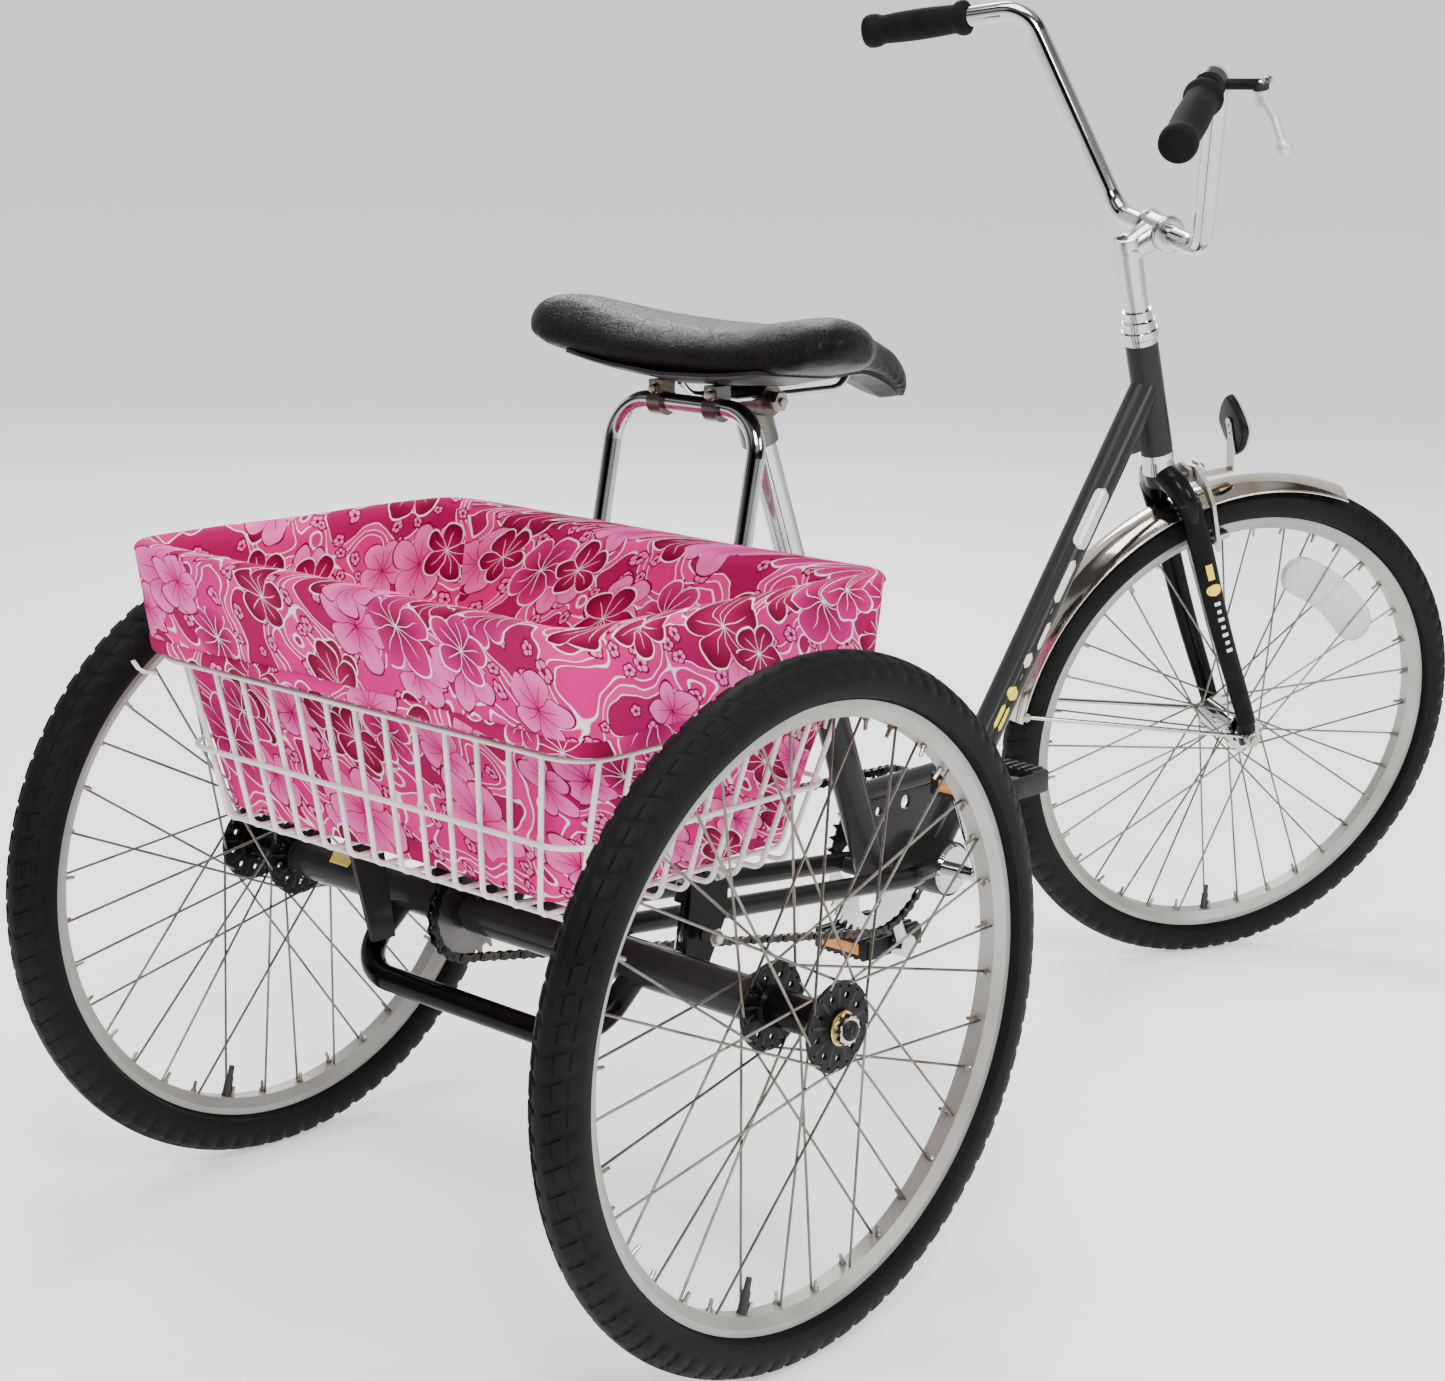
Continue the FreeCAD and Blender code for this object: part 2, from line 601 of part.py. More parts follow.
step_points = [V(0, mm("step_half"), axle_z - 8), V(-mm("step_back"), mm("step_half"), mm("step_height")),
               V(-mm("step_back"), -mm("step_half"), mm("step_height")), V(0, -mm("step_half"), axle_z - 8)]
step = doc.addObject("Part::Feature", "step_bend")
step.Shape = bent_bar(step_points, [mm("step_bend")] * 2, mm("step_radius"))
keep("step_bar", cut("step_bar", step, carrier_cope("step_cope")))

# ---------------------------------------------------------------- chain drive
SPROCKET = V(0, mm("chain_line"), axle_z)
RING = V(BRACKET.x, mm("chain_line"), BRACKET.z)


def pitch_radius(teeth):
    return mm("chain_pitch") / (2 * math.sin(math.pi / teeth))


def toothed(name, teeth, bore, windows, window_ring, window_radius, boss_radius, boss_half):
    """Sprocket in its own plane: pointed teeth, a bored boss and round windows."""
    radius = pitch_radius(teeth)
    corners = []
    for tooth in range(teeth):
        for part, reach in ((0.0, -4.4), (0.22, -4.4), (0.42, 3.2), (0.58, 3.2), (0.78, -4.4)):
            turn = 2 * math.pi * (tooth + part) / teeth
            corners.append(V((radius + reach) * math.cos(turn), (radius + reach) * math.sin(turn), 0))
    half = mm("ring_thick") / 2
    disc = Part.Face(Part.makePolygon(corners + corners[:1])).extrude(V(0, 0, 2 * half))
    disc.translate(V(0, 0, -half))
    disc = disc.fuse(Part.makeCylinder(boss_radius, 2 * boss_half, V(0, 0, -boss_half)))
    for window in range(windows):
        turn = 2 * math.pi * (window + 0.5) / windows
        spot = V(window_ring * math.cos(turn), window_ring * math.sin(turn), -half - 1)
        disc = disc.cut(Part.makeCylinder(window_radius, 2 * half + 2, spot))
    return disc.cut(Part.makeCylinder(bore, 4 * boss_half, V(0, 0, -2 * boss_half)))


feature("rear_sprocket", toothed("rear_sprocket", int(mm("sprocket_teeth")), float(axle_radius), 0, 0, 0, 15, 4),
        facing(SPROCKET, LEFTWARD))
feature("chainring", toothed("chainring", int(mm("ring_teeth")), mm("crank_radius"), 5, 52, 19, 17, 2),
        facing(RING, LEFTWARD))


def chain_loop(offset):
    """Closed line that follows the chain round both sprockets at a distance from its pitch line."""
    small = pitch_radius(mm("sprocket_teeth"))
    large = pitch_radius(mm("ring_teeth"))
    run = RING - SPROCKET
    ahead = V(run.x, 0, run.z).normalize()
    above = V(-ahead.z, 0, ahead.x)
    sine = (large - small) / run.Length
    cosine = math.sqrt(1 - sine * sine)
    upper = above * cosine - ahead * sine
    lower = above * -cosine - ahead * sine
    spots = [RING + upper * (large + offset), RING + ahead * (large + offset),
             RING + lower * (large + offset), SPROCKET + lower * (small + offset),
             SPROCKET - ahead * (small + offset), SPROCKET + upper * (small + offset)]
    return spots


def chain_wire(offset):
    front_top, front, front_low, rear_low, rear, rear_top = chain_loop(offset)
    return Part.Wire([Part.Arc(front_top, front, front_low).toShape(),
                      Part.LineSegment(front_low, rear_low).toShape(),
                      Part.Arc(rear_low, rear, rear_top).toShape(),
                      Part.LineSegment(rear_top, front_top).toShape()])


chain_parts = []
plate_half = mm("chain_depth") / 2
band = Part.Face(chain_wire(plate_half)).cut(Part.Face(chain_wire(-plate_half)))
for start in (mm("chain_half"), -mm("chain_half") - mm("chain_plate")):
    strip = band.extrude(V(0, mm("chain_plate"), 0))
    strip.translate(V(0, start, 0))
    chain_parts.append(strip)
front_top, _, front_low, rear_low, _, rear_top = chain_loop(0)
for start, end in ((rear_top, front_top), (front_low, rear_low)):
    run = (end - start).Length
    direction = (end - start).normalize()
    # Rollers stay clear of the teeth of both sprockets.
    for number in range(int((run - 76) / mm("chain_pitch"))):
        spot = start + direction * (38 + number * mm("chain_pitch")) - V(0, mm("chain_half"), 0)
        chain_parts.append(Part.makeCylinder(2.2, 2 * mm("chain_half"), spot, LEFTWARD))
feature("chain", solid_group(chain_parts))

# ---------------------------------------------------------------- cranks and pedals
crank_turn = math.radians(mm("crank_angle"))
CRANK_WAY = V(math.cos(crank_turn), 0, math.sin(crank_turn))
arm = CRANK_WAY * mm("crank_length")
out = mm("crank_out")
crank_path = [BRACKET + arm + V(0, out, 0), BRACKET + V(0, out, 0), BRACKET - V(0, out, 0),
              BRACKET - arm - V(0, out, 0)]
crank_bar = doc.addObject("Part::Feature", "crank_bar")
crank_bar.Shape = bent_bar(crank_path, [12.0, 12.0], mm("crank_radius"))
crank_parts = []
spindles = []
pedal_gap = 2.0
for name, side, sign in (("left", LEFTWARD, 1), ("right", RIGHTWARD, -1)):
    eye = BRACKET + arm * sign + side * out
    eye_half = size("crank_radius") + 0.7
    crank_parts.append(rod(name + "_eye", 12.5, eye_half * 2, facing(eye - side * float(eye_half), side)))
    spindles.append(rod(name + "_spindle", size("pedal_pin_radius"), size("pedal_width") + eye_half, facing(eye, side)))
group("crank", [fuse("crank_forging", crank_bar, *crank_parts, *spindles)])


def pedal(label, side, sign):
    """Two side plates and two tread blocks round a bored barrel, with tread blocks apart."""
    eye = BRACKET + arm * sign + side * (out + mm("crank_radius") + pedal_gap)
    place = facing(eye, side)
    width = mm("pedal_width")
    barrel = rod(label + "_barrel", size("pedal_pin_radius") + 5.5, size("pedal_width"), place)
    half_x = mm("pedal_length") / 2
    half_z = mm("pedal_height") / 2
    pieces = [barrel]
    for name, low, high in (("front", half_x - 22, half_x), ("rear", -half_x, 22 - half_x)):
        pieces.append(block(label + "_tread_" + name, V(low, -half_z, 3), V(high, half_z, width - 3), place))
    for name, low in (("inner", 0), ("outer", width - 3)):
        pieces.append(block(label + "_cage_" + name, V(-half_x + 3, -half_z + 2, low),
                            V(half_x - 3, half_z - 2, low + 3), place))
    bore = rod(label + "_bore", size("pedal_pin_radius") + size("running_gap"), size("pedal_width") + 20, facing(
        eye - side * 10, side))
    keep(label, cut(label, fuse(label + "_body", *pieces), bore))


pedal("left_pedal", LEFTWARD, 1)
pedal("right_pedal", RIGHTWARD, -1)

# ---------------------------------------------------------------- saddle and its supports
post_top = on_seat_axis(728)
keep("seat_post", tube("seat_post", on_seat_axis(395), post_top, size("post_radius"), size("post_wall")))

rail_y = 22.0
rail_z = mm("saddle_height") - 19
clamp_centre = on_seat_axis(rail_z - 4)
rail_front = clamp_centre.x + 100
rail_rear = clamp_centre.x - 52
pan_under = mm("saddle_height") - 3
rails = []
for name, side in (("left_rail", 1), ("right_rail", -1)):
    rails.append(bent_bar([V(rail_rear - 18, side * rail_y, pan_under + 1.5), V(rail_rear, side * rail_y, rail_z),
                           V(rail_front, side * rail_y, rail_z), V(rail_front + 18, side * rail_y, pan_under + 1.5)],
                          [12.0, 12.0], 3.5))
pan_half = mm("saddle_half") - 22
pan_back = mm("saddle_back") + 22
pan_corners = [(pan_back, -pan_half + 22), (pan_back + 20, -pan_half), (pan_back + 62, -pan_half + 8),
               (pan_back + 118, -pan_half + 66), (pan_back + 165, -52), (pan_back + 215, -36),
               (pan_back + 240, -22)]
pan_outline = [V(x, y, 0) for x, y in pan_corners] + [V(x, -y, 0) for x, y in reversed(pan_corners)]
pan = Part.Face(Part.makePolygon(pan_outline + pan_outline[:1])).extrude(V(0, 0, 3))
pan.translate(V(0, 0, pan_under))
for rail in rails:
    pan = pan.fuse(rail.cut(Part.makeBox(500, 200, 30, V(0, -100, pan_under + 3))))
feature("saddle_frame", pan)


def clamp_place(y):
    return across(clamp_centre.x, y, clamp_centre.z)


sleeve_low = on_seat_axis(rail_z - 46)
saddle_clamp = fuse("saddle_clamp_body", rod("clamp_barrel", 15.0, 56.0, clamp_place(-28)),
                    between("clamp_sleeve", sleeve_low, clamp_centre, size("post_radius") + 3.5),
                    rod("clamp_bolt", 8.5, 68.0, clamp_place(-34)))
rail_holes = [rod("rail_hole_%d" % n, 3.5, 120.0, facing(V(rail_rear + 12, side * rail_y, rail_z), V(1, 0, 0)))
              for n, side in enumerate((1, -1))]
post_seat = between("post_seat", on_seat_axis(600), post_top, size("post_radius"))
clamp = cut("saddle_clamp_core", saddle_clamp, post_seat, *rail_holes)

# The chrome strut is an inverted U hung from two saddle clamps; its legs slide in loose guides.
STRUT_TOP = V(mm("strut_ahead"), 0, mm("strut_top"))
strut_half = mm("strut_half")
strut_reach = mm("strut_top") - mm("strut_end")
foot_shift = V(-mm("strut_lean") * strut_reach, 0, -strut_reach)
strut_points = [STRUT_TOP + V(0, strut_half, 0) + foot_shift, STRUT_TOP + V(0, strut_half, 0),
                STRUT_TOP - V(0, strut_half, 0), STRUT_TOP - V(0, strut_half, 0) + foot_shift]
strut_outer = bent_bar(strut_points, [mm("strut_bend")] * 2, mm("strut_radius"))
strut_inner = bent_bar(strut_points, [mm("strut_bend")] * 2, mm("strut_radius") - 1.6)
feature("seat_strut", strut_outer.cut(strut_inner))
strut_running = size("strut_radius") + size("running_gap")
strut_clamps = []
for name, y in (("left_strut_clamp", 34.0), ("right_strut_clamp", -34.0)):
    spot = across(STRUT_TOP.x, y - 8, STRUT_TOP.z)
    tab = block(name + "_tab", V(-9, -8, 0), V(9, 8, pan_under - STRUT_TOP.z),
                App.Placement(V(STRUT_TOP.x, y, STRUT_TOP.z), App.Rotation()))
    band = rod(name + "_band", size("strut_radius") + 4.0, 16.0, spot)
    hole = rod(name + "_hole", strut_running, 30.0, across(STRUT_TOP.x, y - 15, STRUT_TOP.z))
    strut_clamps.append(cut(name, fuse(name + "_body", tab, band), hole))
group("saddle_clamp", [clamp] + strut_clamps)

# Each saddle station: share of length from the back, half width, middle, lobe and underside heights.
SADDLE = [(0.0, 0.86, 30, 38, 20), (0.05, 0.97, 40, 60, 10), (0.14, 1.0, 46, 65, 4), (0.24, 0.97, 46, 60, 1),
          (0.36, 0.82, 43, 48, 0), (0.48, 0.60, 38, 39, 0), (0.60, 0.42, 34, 34, 0), (0.73, 0.30, 27, 27, 0),
          (0.85, 0.23, 15, 15, -14), (0.95, 0.17, -6, -6, -32), (1.0, 0.10, -24, -24, -41)]


def saddle_outline(share, width, middle, lobe, under):
    x = mm("saddle_back") + share * (mm("saddle_nose") - mm("saddle_back"))
    half = mm("saddle_half") * width
    base = mm("saddle_height")
    sides = [(0.0, middle), (0.42, middle + (lobe - middle) * 0.45), (0.74, lobe), (0.93, lobe * 0.8 + under * 0.2),
             (1.0, (lobe + under) / 2), (0.95, under + (lobe - under) * 0.15), (0.8, under), (0.4, under)]
    right = [V(x, -half * y, base + z) for y, z in sides]
    left = [V(x, half * y, base + z) for y, z in reversed(sides[1:])]
    curve = Part.BSplineCurve()
    curve.interpolate(Points=right + [V(x, 0, base + under)] + left, PeriodicFlag=True)
    return Part.Wire([curve.toShape()])


feature("saddle_pad", Part.makeLoft([saddle_outline(*station) for station in SADDLE], True, False))

# ---------------------------------------------------------------- basket and what carries it
bracket_y = crossbar_half + 2.5
floor_z = mm("basket_floor")
wire = mm("wire_radius")
floor_under = floor_z - 2 * wire
guide_spot = STRUT_TOP + V(-mm("strut_lean") * (mm("strut_top") - mm("strut_foot")), 0,
                           mm("strut_foot") - mm("strut_top"))
guide_way = V(mm("strut_lean"), 0, 1)
bracket_pieces = []
for name, side in (("left", 1), ("right", -1)):
    front = plate(name + "_front_bracket", [(86, 250), (112, 250), (142, 306), (142, 330), (132, floor_under),
                                            (98, floor_under), (90, 300)], 5.0,
                  App.Placement(V(0, side * bracket_y, 0), App.Rotation()))
    rear = plate(name + "_rear_bracket", [(-52, 262), (-26, 262), (-44, floor_under), (-84, floor_under)], 5.0,
                 App.Placement(V(0, side * (mm("step_half") - mm("step_radius") - 2.4), 0), App.Rotation()))
    spot = guide_spot + V(0, side * strut_half, 0)
    low_y, high_y = sorted((side * 10.0, side * (bracket_y - 2.5 - strut_half)))
    lug = block(name + "_guide_lug", V(-7, low_y, -8), V(7, high_y, 8), App.Placement(spot, App.Rotation()))
    band = rod(name + "_guide_band", size("strut_radius") + 6.5, 18.0, facing(spot - guide_way * 9, guide_way))
    hole = rod(name + "_guide_hole", size("strut_radius") + 1.6, 60.0, facing(spot - guide_way * 30, guide_way))
    bolts = [rod("%s_bolt_%d" % (name, n), 6.0, 9.0, across(x, side * bracket_y - 4.5, z))
             for n, (x, z) in enumerate(((112, 292), (114, 352)))]
    body = fuse(name + "_front_support", front, lug, band, *bolts)
    bracket_pieces += [cut(name + "_support", body, hole), cut(name + "_rear_support", rear, step)]
group("basket_brackets", bracket_pieces)

centre_x = mm("basket_centre")
BELLY = 0.60


def basket_half(height):
    """Half sizes of the basket wall at a height: it widens fast low down and slowly above."""
    share = (height - floor_z) / (mm("basket_rim") - floor_z)
    along = mm("floor_half_x") + (mm("rim_half_x") - mm("floor_half_x")) * share
    knee_y = mm("rim_half_y") - 2
    if share < BELLY:
        wide = mm("floor_half_y") + (knee_y - mm("floor_half_y")) * share / BELLY
    else:
        wide = knee_y + 2 * (share - BELLY) / (1 - BELLY)
    return along, wide


knee_z = floor_z + BELLY * (mm("basket_rim") - floor_z)
low_ring_z = floor_z + 0.28 * (mm("basket_rim") - floor_z)
rings = []
for height, corner, radius in ((low_ring_z, 34, wire), (knee_z, 36, wire), (mm("basket_rim"), 38, mm("rim_wire_radius"))):
    half_x, half_y = basket_half(height)
    rings.append(loop_bar(rounded_loop(half_x, half_y, corner, V(centre_x, 0, height)), radius))
feature("basket_rings", solid_group(rings))

inset = 2 * wire
wall_wires = []
rim_top = mm("basket_rim") - 1
for number in range(int(mm("wall_wires"))):
    share = -0.88 + 1.76 * number / (mm("wall_wires") - 1)
    floor_x, floor_y = basket_half(floor_z)
    high_x, high_y = basket_half(rim_top)
    high_x -= mm("rim_wire_radius") + wire
    floor_x -= inset - 1
    wall_wires.append(bent_bar([V(centre_x + high_x, share * high_y, rim_top),
                                V(centre_x + floor_x, share * floor_y, floor_z + wire),
                                V(centre_x - floor_x, share * floor_y, floor_z + wire),
                                V(centre_x - high_x, share * high_y, rim_top)], [12.0, 12.0], wire))
for number in range(int(mm("side_wires"))):
    share = -0.84 + 1.68 * number / (mm("side_wires") - 1)
    floor_x, floor_y = basket_half(floor_z)
    knee_x, knee_y = basket_half(knee_z)
    high_x, high_y = basket_half(rim_top)
    high_y -= mm("rim_wire_radius") + wire
    knee_y -= inset + 1.5
    floor_y -= inset
    path = [V(centre_x + share * high_x, high_y, rim_top), V(centre_x + share * knee_x, knee_y, knee_z),
            V(centre_x + share * floor_x, floor_y, floor_z - wire)]
    path += [V(spot.x, -spot.y, spot.z) for spot in reversed(path)]
    wall_wires.append(bent_bar(path, [40.0, 12.0, 12.0, 40.0], wire))
feature("basket_wires", solid_group(wall_wires))


def liner_wire(height, outset, corner):
    half_x, half_y = basket_half(height)
    return rounded_loop(half_x + outset, half_y + outset, corner, V(centre_x, 0, height))


def liner_hull(levels, outset, corner, raised):
    """Closed hull through loops at several heights; raised moves the lowest loop up."""
    wires = [liner_wire(height, outset, corner) for height in levels]
    wires[0].translate(V(0, 0, raised))
    return Part.makeLoft(wires, True, True)


thick = mm("liner_thick")
liner_top = mm("basket_rim") + mm("rim_wire_radius") + thick
tub_in = -(2 * wire + mm("rim_wire_radius") + 2.0)
skirt_out = mm("rim_wire_radius") + 1.0 + thick
tub_levels = [floor_z + 2 * wire + 1.0, knee_z, liner_top]
skirt_low = liner_top - mm("skirt_drop")
tub = liner_hull(tub_levels, tub_in, 30, 0)
cavity = liner_hull(tub_levels, tub_in - thick, 28, thick)
skirt = liner_hull([skirt_low, liner_top], skirt_out, 44, 0)
slot = liner_hull([skirt_low - 1, liner_top - thick], skirt_out - thick, 41, 0)
feature("basket_liner", skirt.cut(slot).fuse(tub).cut(cavity))

# ---------------------------------------------------------------- steering, drawn in its own frame
steerer = size("steerer_radius")
head_high = size("head_low") + size("head_length")
head_gap = size("end_play")
cup_bore = steerer + size("running_gap")
cup_width = size("head_radius") + 0.5
low_cup = turned("low_cup", [(cup_bore, size("head_low") - 8), (cup_width, size("head_low") - 8),
                             (cup_width, size("head_low")), (size("head_bore"), size("head_low")),
                             (size("head_bore"), size("head_low") + 10), (cup_bore, size("head_low") + 10)],
                 HEAD_STRAIGHT)
high_cup = turned("high_cup", [(cup_bore, head_high - 10), (size("head_bore"), head_high - 10),
                               (size("head_bore"), head_high), (cup_width, head_high),
                               (cup_width, head_high + 6), (cup_bore, head_high + 6)], HEAD_STRAIGHT)
group("headset_cups", [low_cup, high_cup])

nut_foot = head_high + 6 + head_gap
crown_race = turned("crown_race", [(steerer, size("crown_high")), (cup_width, size("crown_high")),
                                   (cup_width - 2, size("head_low") - 8 - head_gap),
                                   (steerer, size("head_low") - 8 - head_gap)], STEERED)
top_race = turned("top_race", [(steerer, nut_foot), (cup_width, nut_foot), (cup_width - 1, nut_foot + 19),
                               (cup_width - 3, nut_foot + 19), (cup_width - 3, nut_foot + 31),
                               (steerer, nut_foot + 31)], STEERED)
group("headset_nuts", [crown_race, top_race])

crown_low = mm("crown_low")
blade_half = mm("blade_half")
crown = fuse("crown", rod("steerer_tube", steerer, nut_foot + 31 - size("crown_low"),
                          facing(V(0, 0, crown_low), V(0, 0, 1))),
             block("crown_block", V(-10, -blade_half - 11, crown_low), V(24, blade_half + 11, mm("crown_high"))))
quill_hole = rod("quill_hole", size("quill_radius"), 400.0, facing(V(0, 0, mm("crown_high")), V(0, 0, 1)))
keep("fork_crown", cut("fork_crown", crown, quill_hole), STEERED)

# Blade stations: height, distance ahead of the steering axis, half depth and half width.
BLADE = [(crown_low, 8, 14, 9), (240, 18, 14, 9), (172, 24.5, 13, 8.6), (75, 37, 12, 7.6), (16, 45, 11, 7)]
forks = []
for side in (1, -1):
    wires = []
    for height, ahead, depth, width in BLADE:
        oval = Part.Ellipse(V(ahead, side * blade_half, height), depth, width)
        wires.append(Part.Wire([oval.toShape()]))
    blade = Part.makeLoft(wires, True, False)
    tip = Part.Face(Part.makePolygon([V(x, 0, z) for x, z in (
        (35, 40), (33, 10), (34, -10), (54, -10), (55, 10), (50, 40), (35, 40))]))
    tip = tip.extrude(V(0, mm("dropout_thick"), 0))
    tip.translate(V(0, side * (blade_half - 2) - mm("dropout_thick") / 2, 0))
    blade = blade.fuse(tip).cut(Part.makeCylinder(front_axle_radius, 200, V(mm("fork_rake"), -100, 0), LEFTWARD))
    forks.append(blade)
feature("fork_blades", solid_group(forks), STEERED)

dropout_in = blade_half - 2 - mm("dropout_thick") / 2
dropout_out = dropout_in + mm("dropout_thick")
stay_eye = 5.4
axle_parts = [Part.makeCylinder(front_axle_radius, 120, V(mm("fork_rake"), -60, 0), LEFTWARD)]
for side in (1, -1):
    way = V(0, side, 0)

    def washer_at(start, length, radius):
        spot = V(mm("fork_rake"), side * start, 0)
        return Part.makeCylinder(radius, length, spot, way).cut(
            Part.makeCylinder(front_axle_radius, length, spot, way))

    cone_start = float(front_hub_ends) + mm("end_play")
    axle_parts.append(washer_at(cone_start, dropout_in - cone_start, 8.0))
    axle_parts.append(washer_at(dropout_out + stay_eye, 8.0, 9.0))
feature("front_axle", solid_group(axle_parts), STEERED)

# Fender: a thin arched band turned about the front axle.
fender_out = mm("fender_radius")
fender_half = mm("fender_half")
skin = mm("fender_thick")
drop = 12.0
fore = mm("fork_rake")
outer_arc = Part.Arc(V(fore + fender_out - drop, -fender_half, 0), V(fore + fender_out, 0, 0),
                     V(fore + fender_out - drop, fender_half, 0)).toShape()
inner_arc = Part.Arc(V(fore + fender_out - drop, fender_half - skin, 0), V(fore + fender_out - skin, 0, 0),
                     V(fore + fender_out - drop, skin - fender_half, 0)).toShape()
ends = [Part.LineSegment(V(fore + fender_out - drop, side * fender_half, 0),
                         V(fore + fender_out - drop, side * (fender_half - skin), 0)).toShape() for side in (1, -1)]
profile = Part.Face(Part.Wire([outer_arc, ends[0], inner_arc, ends[1]]))
profile.rotate(V(fore, 0, 0), V(0, -1, 0), mm("fender_front"))
feature("fender", profile.revolve(V(fore, 0, 0), V(0, -1, 0), mm("fender_rear") - mm("fender_front")), STEERED)

rear_turn = math.radians(mm("fender_rear") - 2)
edge = V(fore + (fender_out - drop) * math.cos(rear_turn), 0, (fender_out - drop) * math.sin(rear_turn))
stay_rods = []
for side in (1, -1):
    eye = V(fore, side * (dropout_out + stay_eye / 2), 0)
    ending = V(edge.x, side * (fender_half + 2.7), edge.z)
    rod_shape = Part.makeCylinder(2.7, (ending - eye).Length + 3, eye, ending - eye)
    boss = Part.makeCylinder(8, stay_eye, V(fore, side * dropout_out, 0), V(0, side, 0))
    bored = Part.makeCylinder(front_axle_radius, 30, V(fore, side * (dropout_out - 5), 0), V(0, side, 0))
    stay_rods.append(boss.fuse(rod_shape).cut(bored))
feature("fender_stays", solid_group(stay_rods), STEERED)

PIVOT = V(0, 0, 330)
arm_bolt = between("reflector_bolt", V(24, 0, PIVOT.z), V(52, 0, PIVOT.z), 3.0)
strip = plate("reflector_strip", [(45.5, 342), (47.5, 342), (47.5, 323.5), (87.5, 317.5), (93, 352), (95, 352),
                                  (89, 315), (45.5, 321.5)], 14.0)
strip_hole = rod("strip_hole", 3.0, 60.0, facing(V(20, 0, PIVOT.z), V(1, 0, 0)))
group("reflector_arm", [arm_bolt, cut("reflector_strap", strip, strip_hole)], STEERED)
shield = [(-27.5, -10), (-18, -31), (-6, -37.5), (6, -37.5), (18, -31), (27.5, -10), (27.5, 10), (18, 31),
          (6, 37.5), (-6, 37.5), (-18, 31), (-27.5, 10)]
keep("reflector", plate("reflector", shield, 13.0, STEERED.multiply(App.Placement(V(101.5, 0, 368), App.Rotation())),
                        role="YZ_Plane"))

# Brake caliper: two arms on the reflector bolt reach round the fender to the rim.
for name, side, near in (("left", 1, 32.0), ("right", -1, 37.5)):
    corners = [(-9, 322), (-9, 338), (12, 341), (33, 328), (43, 302), (43, 244), (35, 244), (35, 299), (27, 316),
               (9, 321)]
    face = Part.Face(Part.makePolygon([V(near, side * y, z) for y, z in corners + corners[:1]]))
    hook = face.extrude(V(4.5, 0, 0))
    hook = hook.cut(Part.makeCylinder(3.05, 40, V(20, 0, PIVOT.z), V(1, 0, 0)))
    feature(name + "_caliper_arm", hook, STEERED)
    rim_side = mm("rim_width") / 2 + 1.3
    shoe = Part.makeBox(44, 9, 10, V(near - 20, rim_side, 247))
    stud = Part.makeCylinder(3, 35 - rim_side - 9, V(near + 2.2, rim_side + 9, 252), LEFTWARD)
    pad_shape = shoe.fuse(stud)
    if side < 0:
        pad_shape = pad_shape.mirror(V(), V(0, 1, 0))
    feature(name + "_brake_pad", pad_shape, STEERED)

# Stem: quill inside the steerer, a knee, and a clamp round the handlebar.
CLAMP = V(mm("clamp_ahead"), 0, mm("clamp_up"))
quill = bent_bar([V(0, 0, 440), V(0, 0, mm("neck_knee")), CLAMP], [16.0], mm("quill_radius"))
quill = quill.fuse(Part.makeCylinder(18, 42, CLAMP - V(0, 21, 0), LEFTWARD))
lug_low = CLAMP + V(4, -11, -27)
quill = quill.fuse(Part.makeBox(17, 22, 20, lug_low))
quill = quill.cut(Part.makeCylinder(mm("bar_radius"), 80, CLAMP - V(0, 40, 0), LEFTWARD))
pinch = CLAMP + V(13, -17, -22)
quill = quill.cut(Part.makeCylinder(3, 80, pinch - V(0, 20, 0), LEFTWARD))
feature("stem", quill, STEERED)
top_bolt = Part.makeCylinder(6.5, 5, V(-2, 0, mm("neck_knee") + 8.5), V(-0.15, 0, 1))
top_bolt = top_bolt.cut(quill)
pinch_bolt = Part.makeCylinder(3, 34, pinch, LEFTWARD).fuse(Part.makeCylinder(5.5, 5.5, pinch + V(0, 0.4, 0), LEFTWARD))
feature("stem_bolts", solid_group([top_bolt, pinch_bolt]), STEERED)

bar_corner = V(mm("bar_high_ahead"), mm("bar_high_half"), mm("bar_high"))
GRIP_WAY = V(-85, 92, -7).normalize()
GRIP_START = bar_corner + GRIP_WAY * 72
bar_end = GRIP_START + GRIP_WAY * mm("grip_length")
low_corner = CLAMP + V(0, mm("bar_low_half"), 0)
bar_path = [bar_end, bar_corner, low_corner]
bar_path += [V(spot.x, -spot.y, spot.z) for spot in reversed(bar_path)]
bends = [mm("bar_bend")] * 4
bar_shape = bent_bar(bar_path, bends, mm("bar_radius")).cut(bent_bar(bar_path, bends, mm("bar_radius") - 2))
feature("handlebar", bar_shape, STEERED)

grip_parts = []
for name, side in (("left_grip", 1), ("right_grip", -1)):
    start = V(GRIP_START.x, side * GRIP_START.y, GRIP_START.z)
    way = V(GRIP_WAY.x, side * GRIP_WAY.y, GRIP_WAY.z)
    length = size("grip_length")
    bar = size("bar_radius")
    flange = size("grip_flange_radius")
    grip_parts.append(turned(name, [(bar, 0.0), (flange, 0.0), (flange, 7.0), (size("grip_radius"), 7.0),
                                    (size("grip_radius"), length - 6), (flange - 1, length - 6),
                                    (flange - 1, length + 2), (0.0, length + 3), (0.0, length), (bar, length)],
                             facing(start, way)))
group("grips", grip_parts, STEERED)

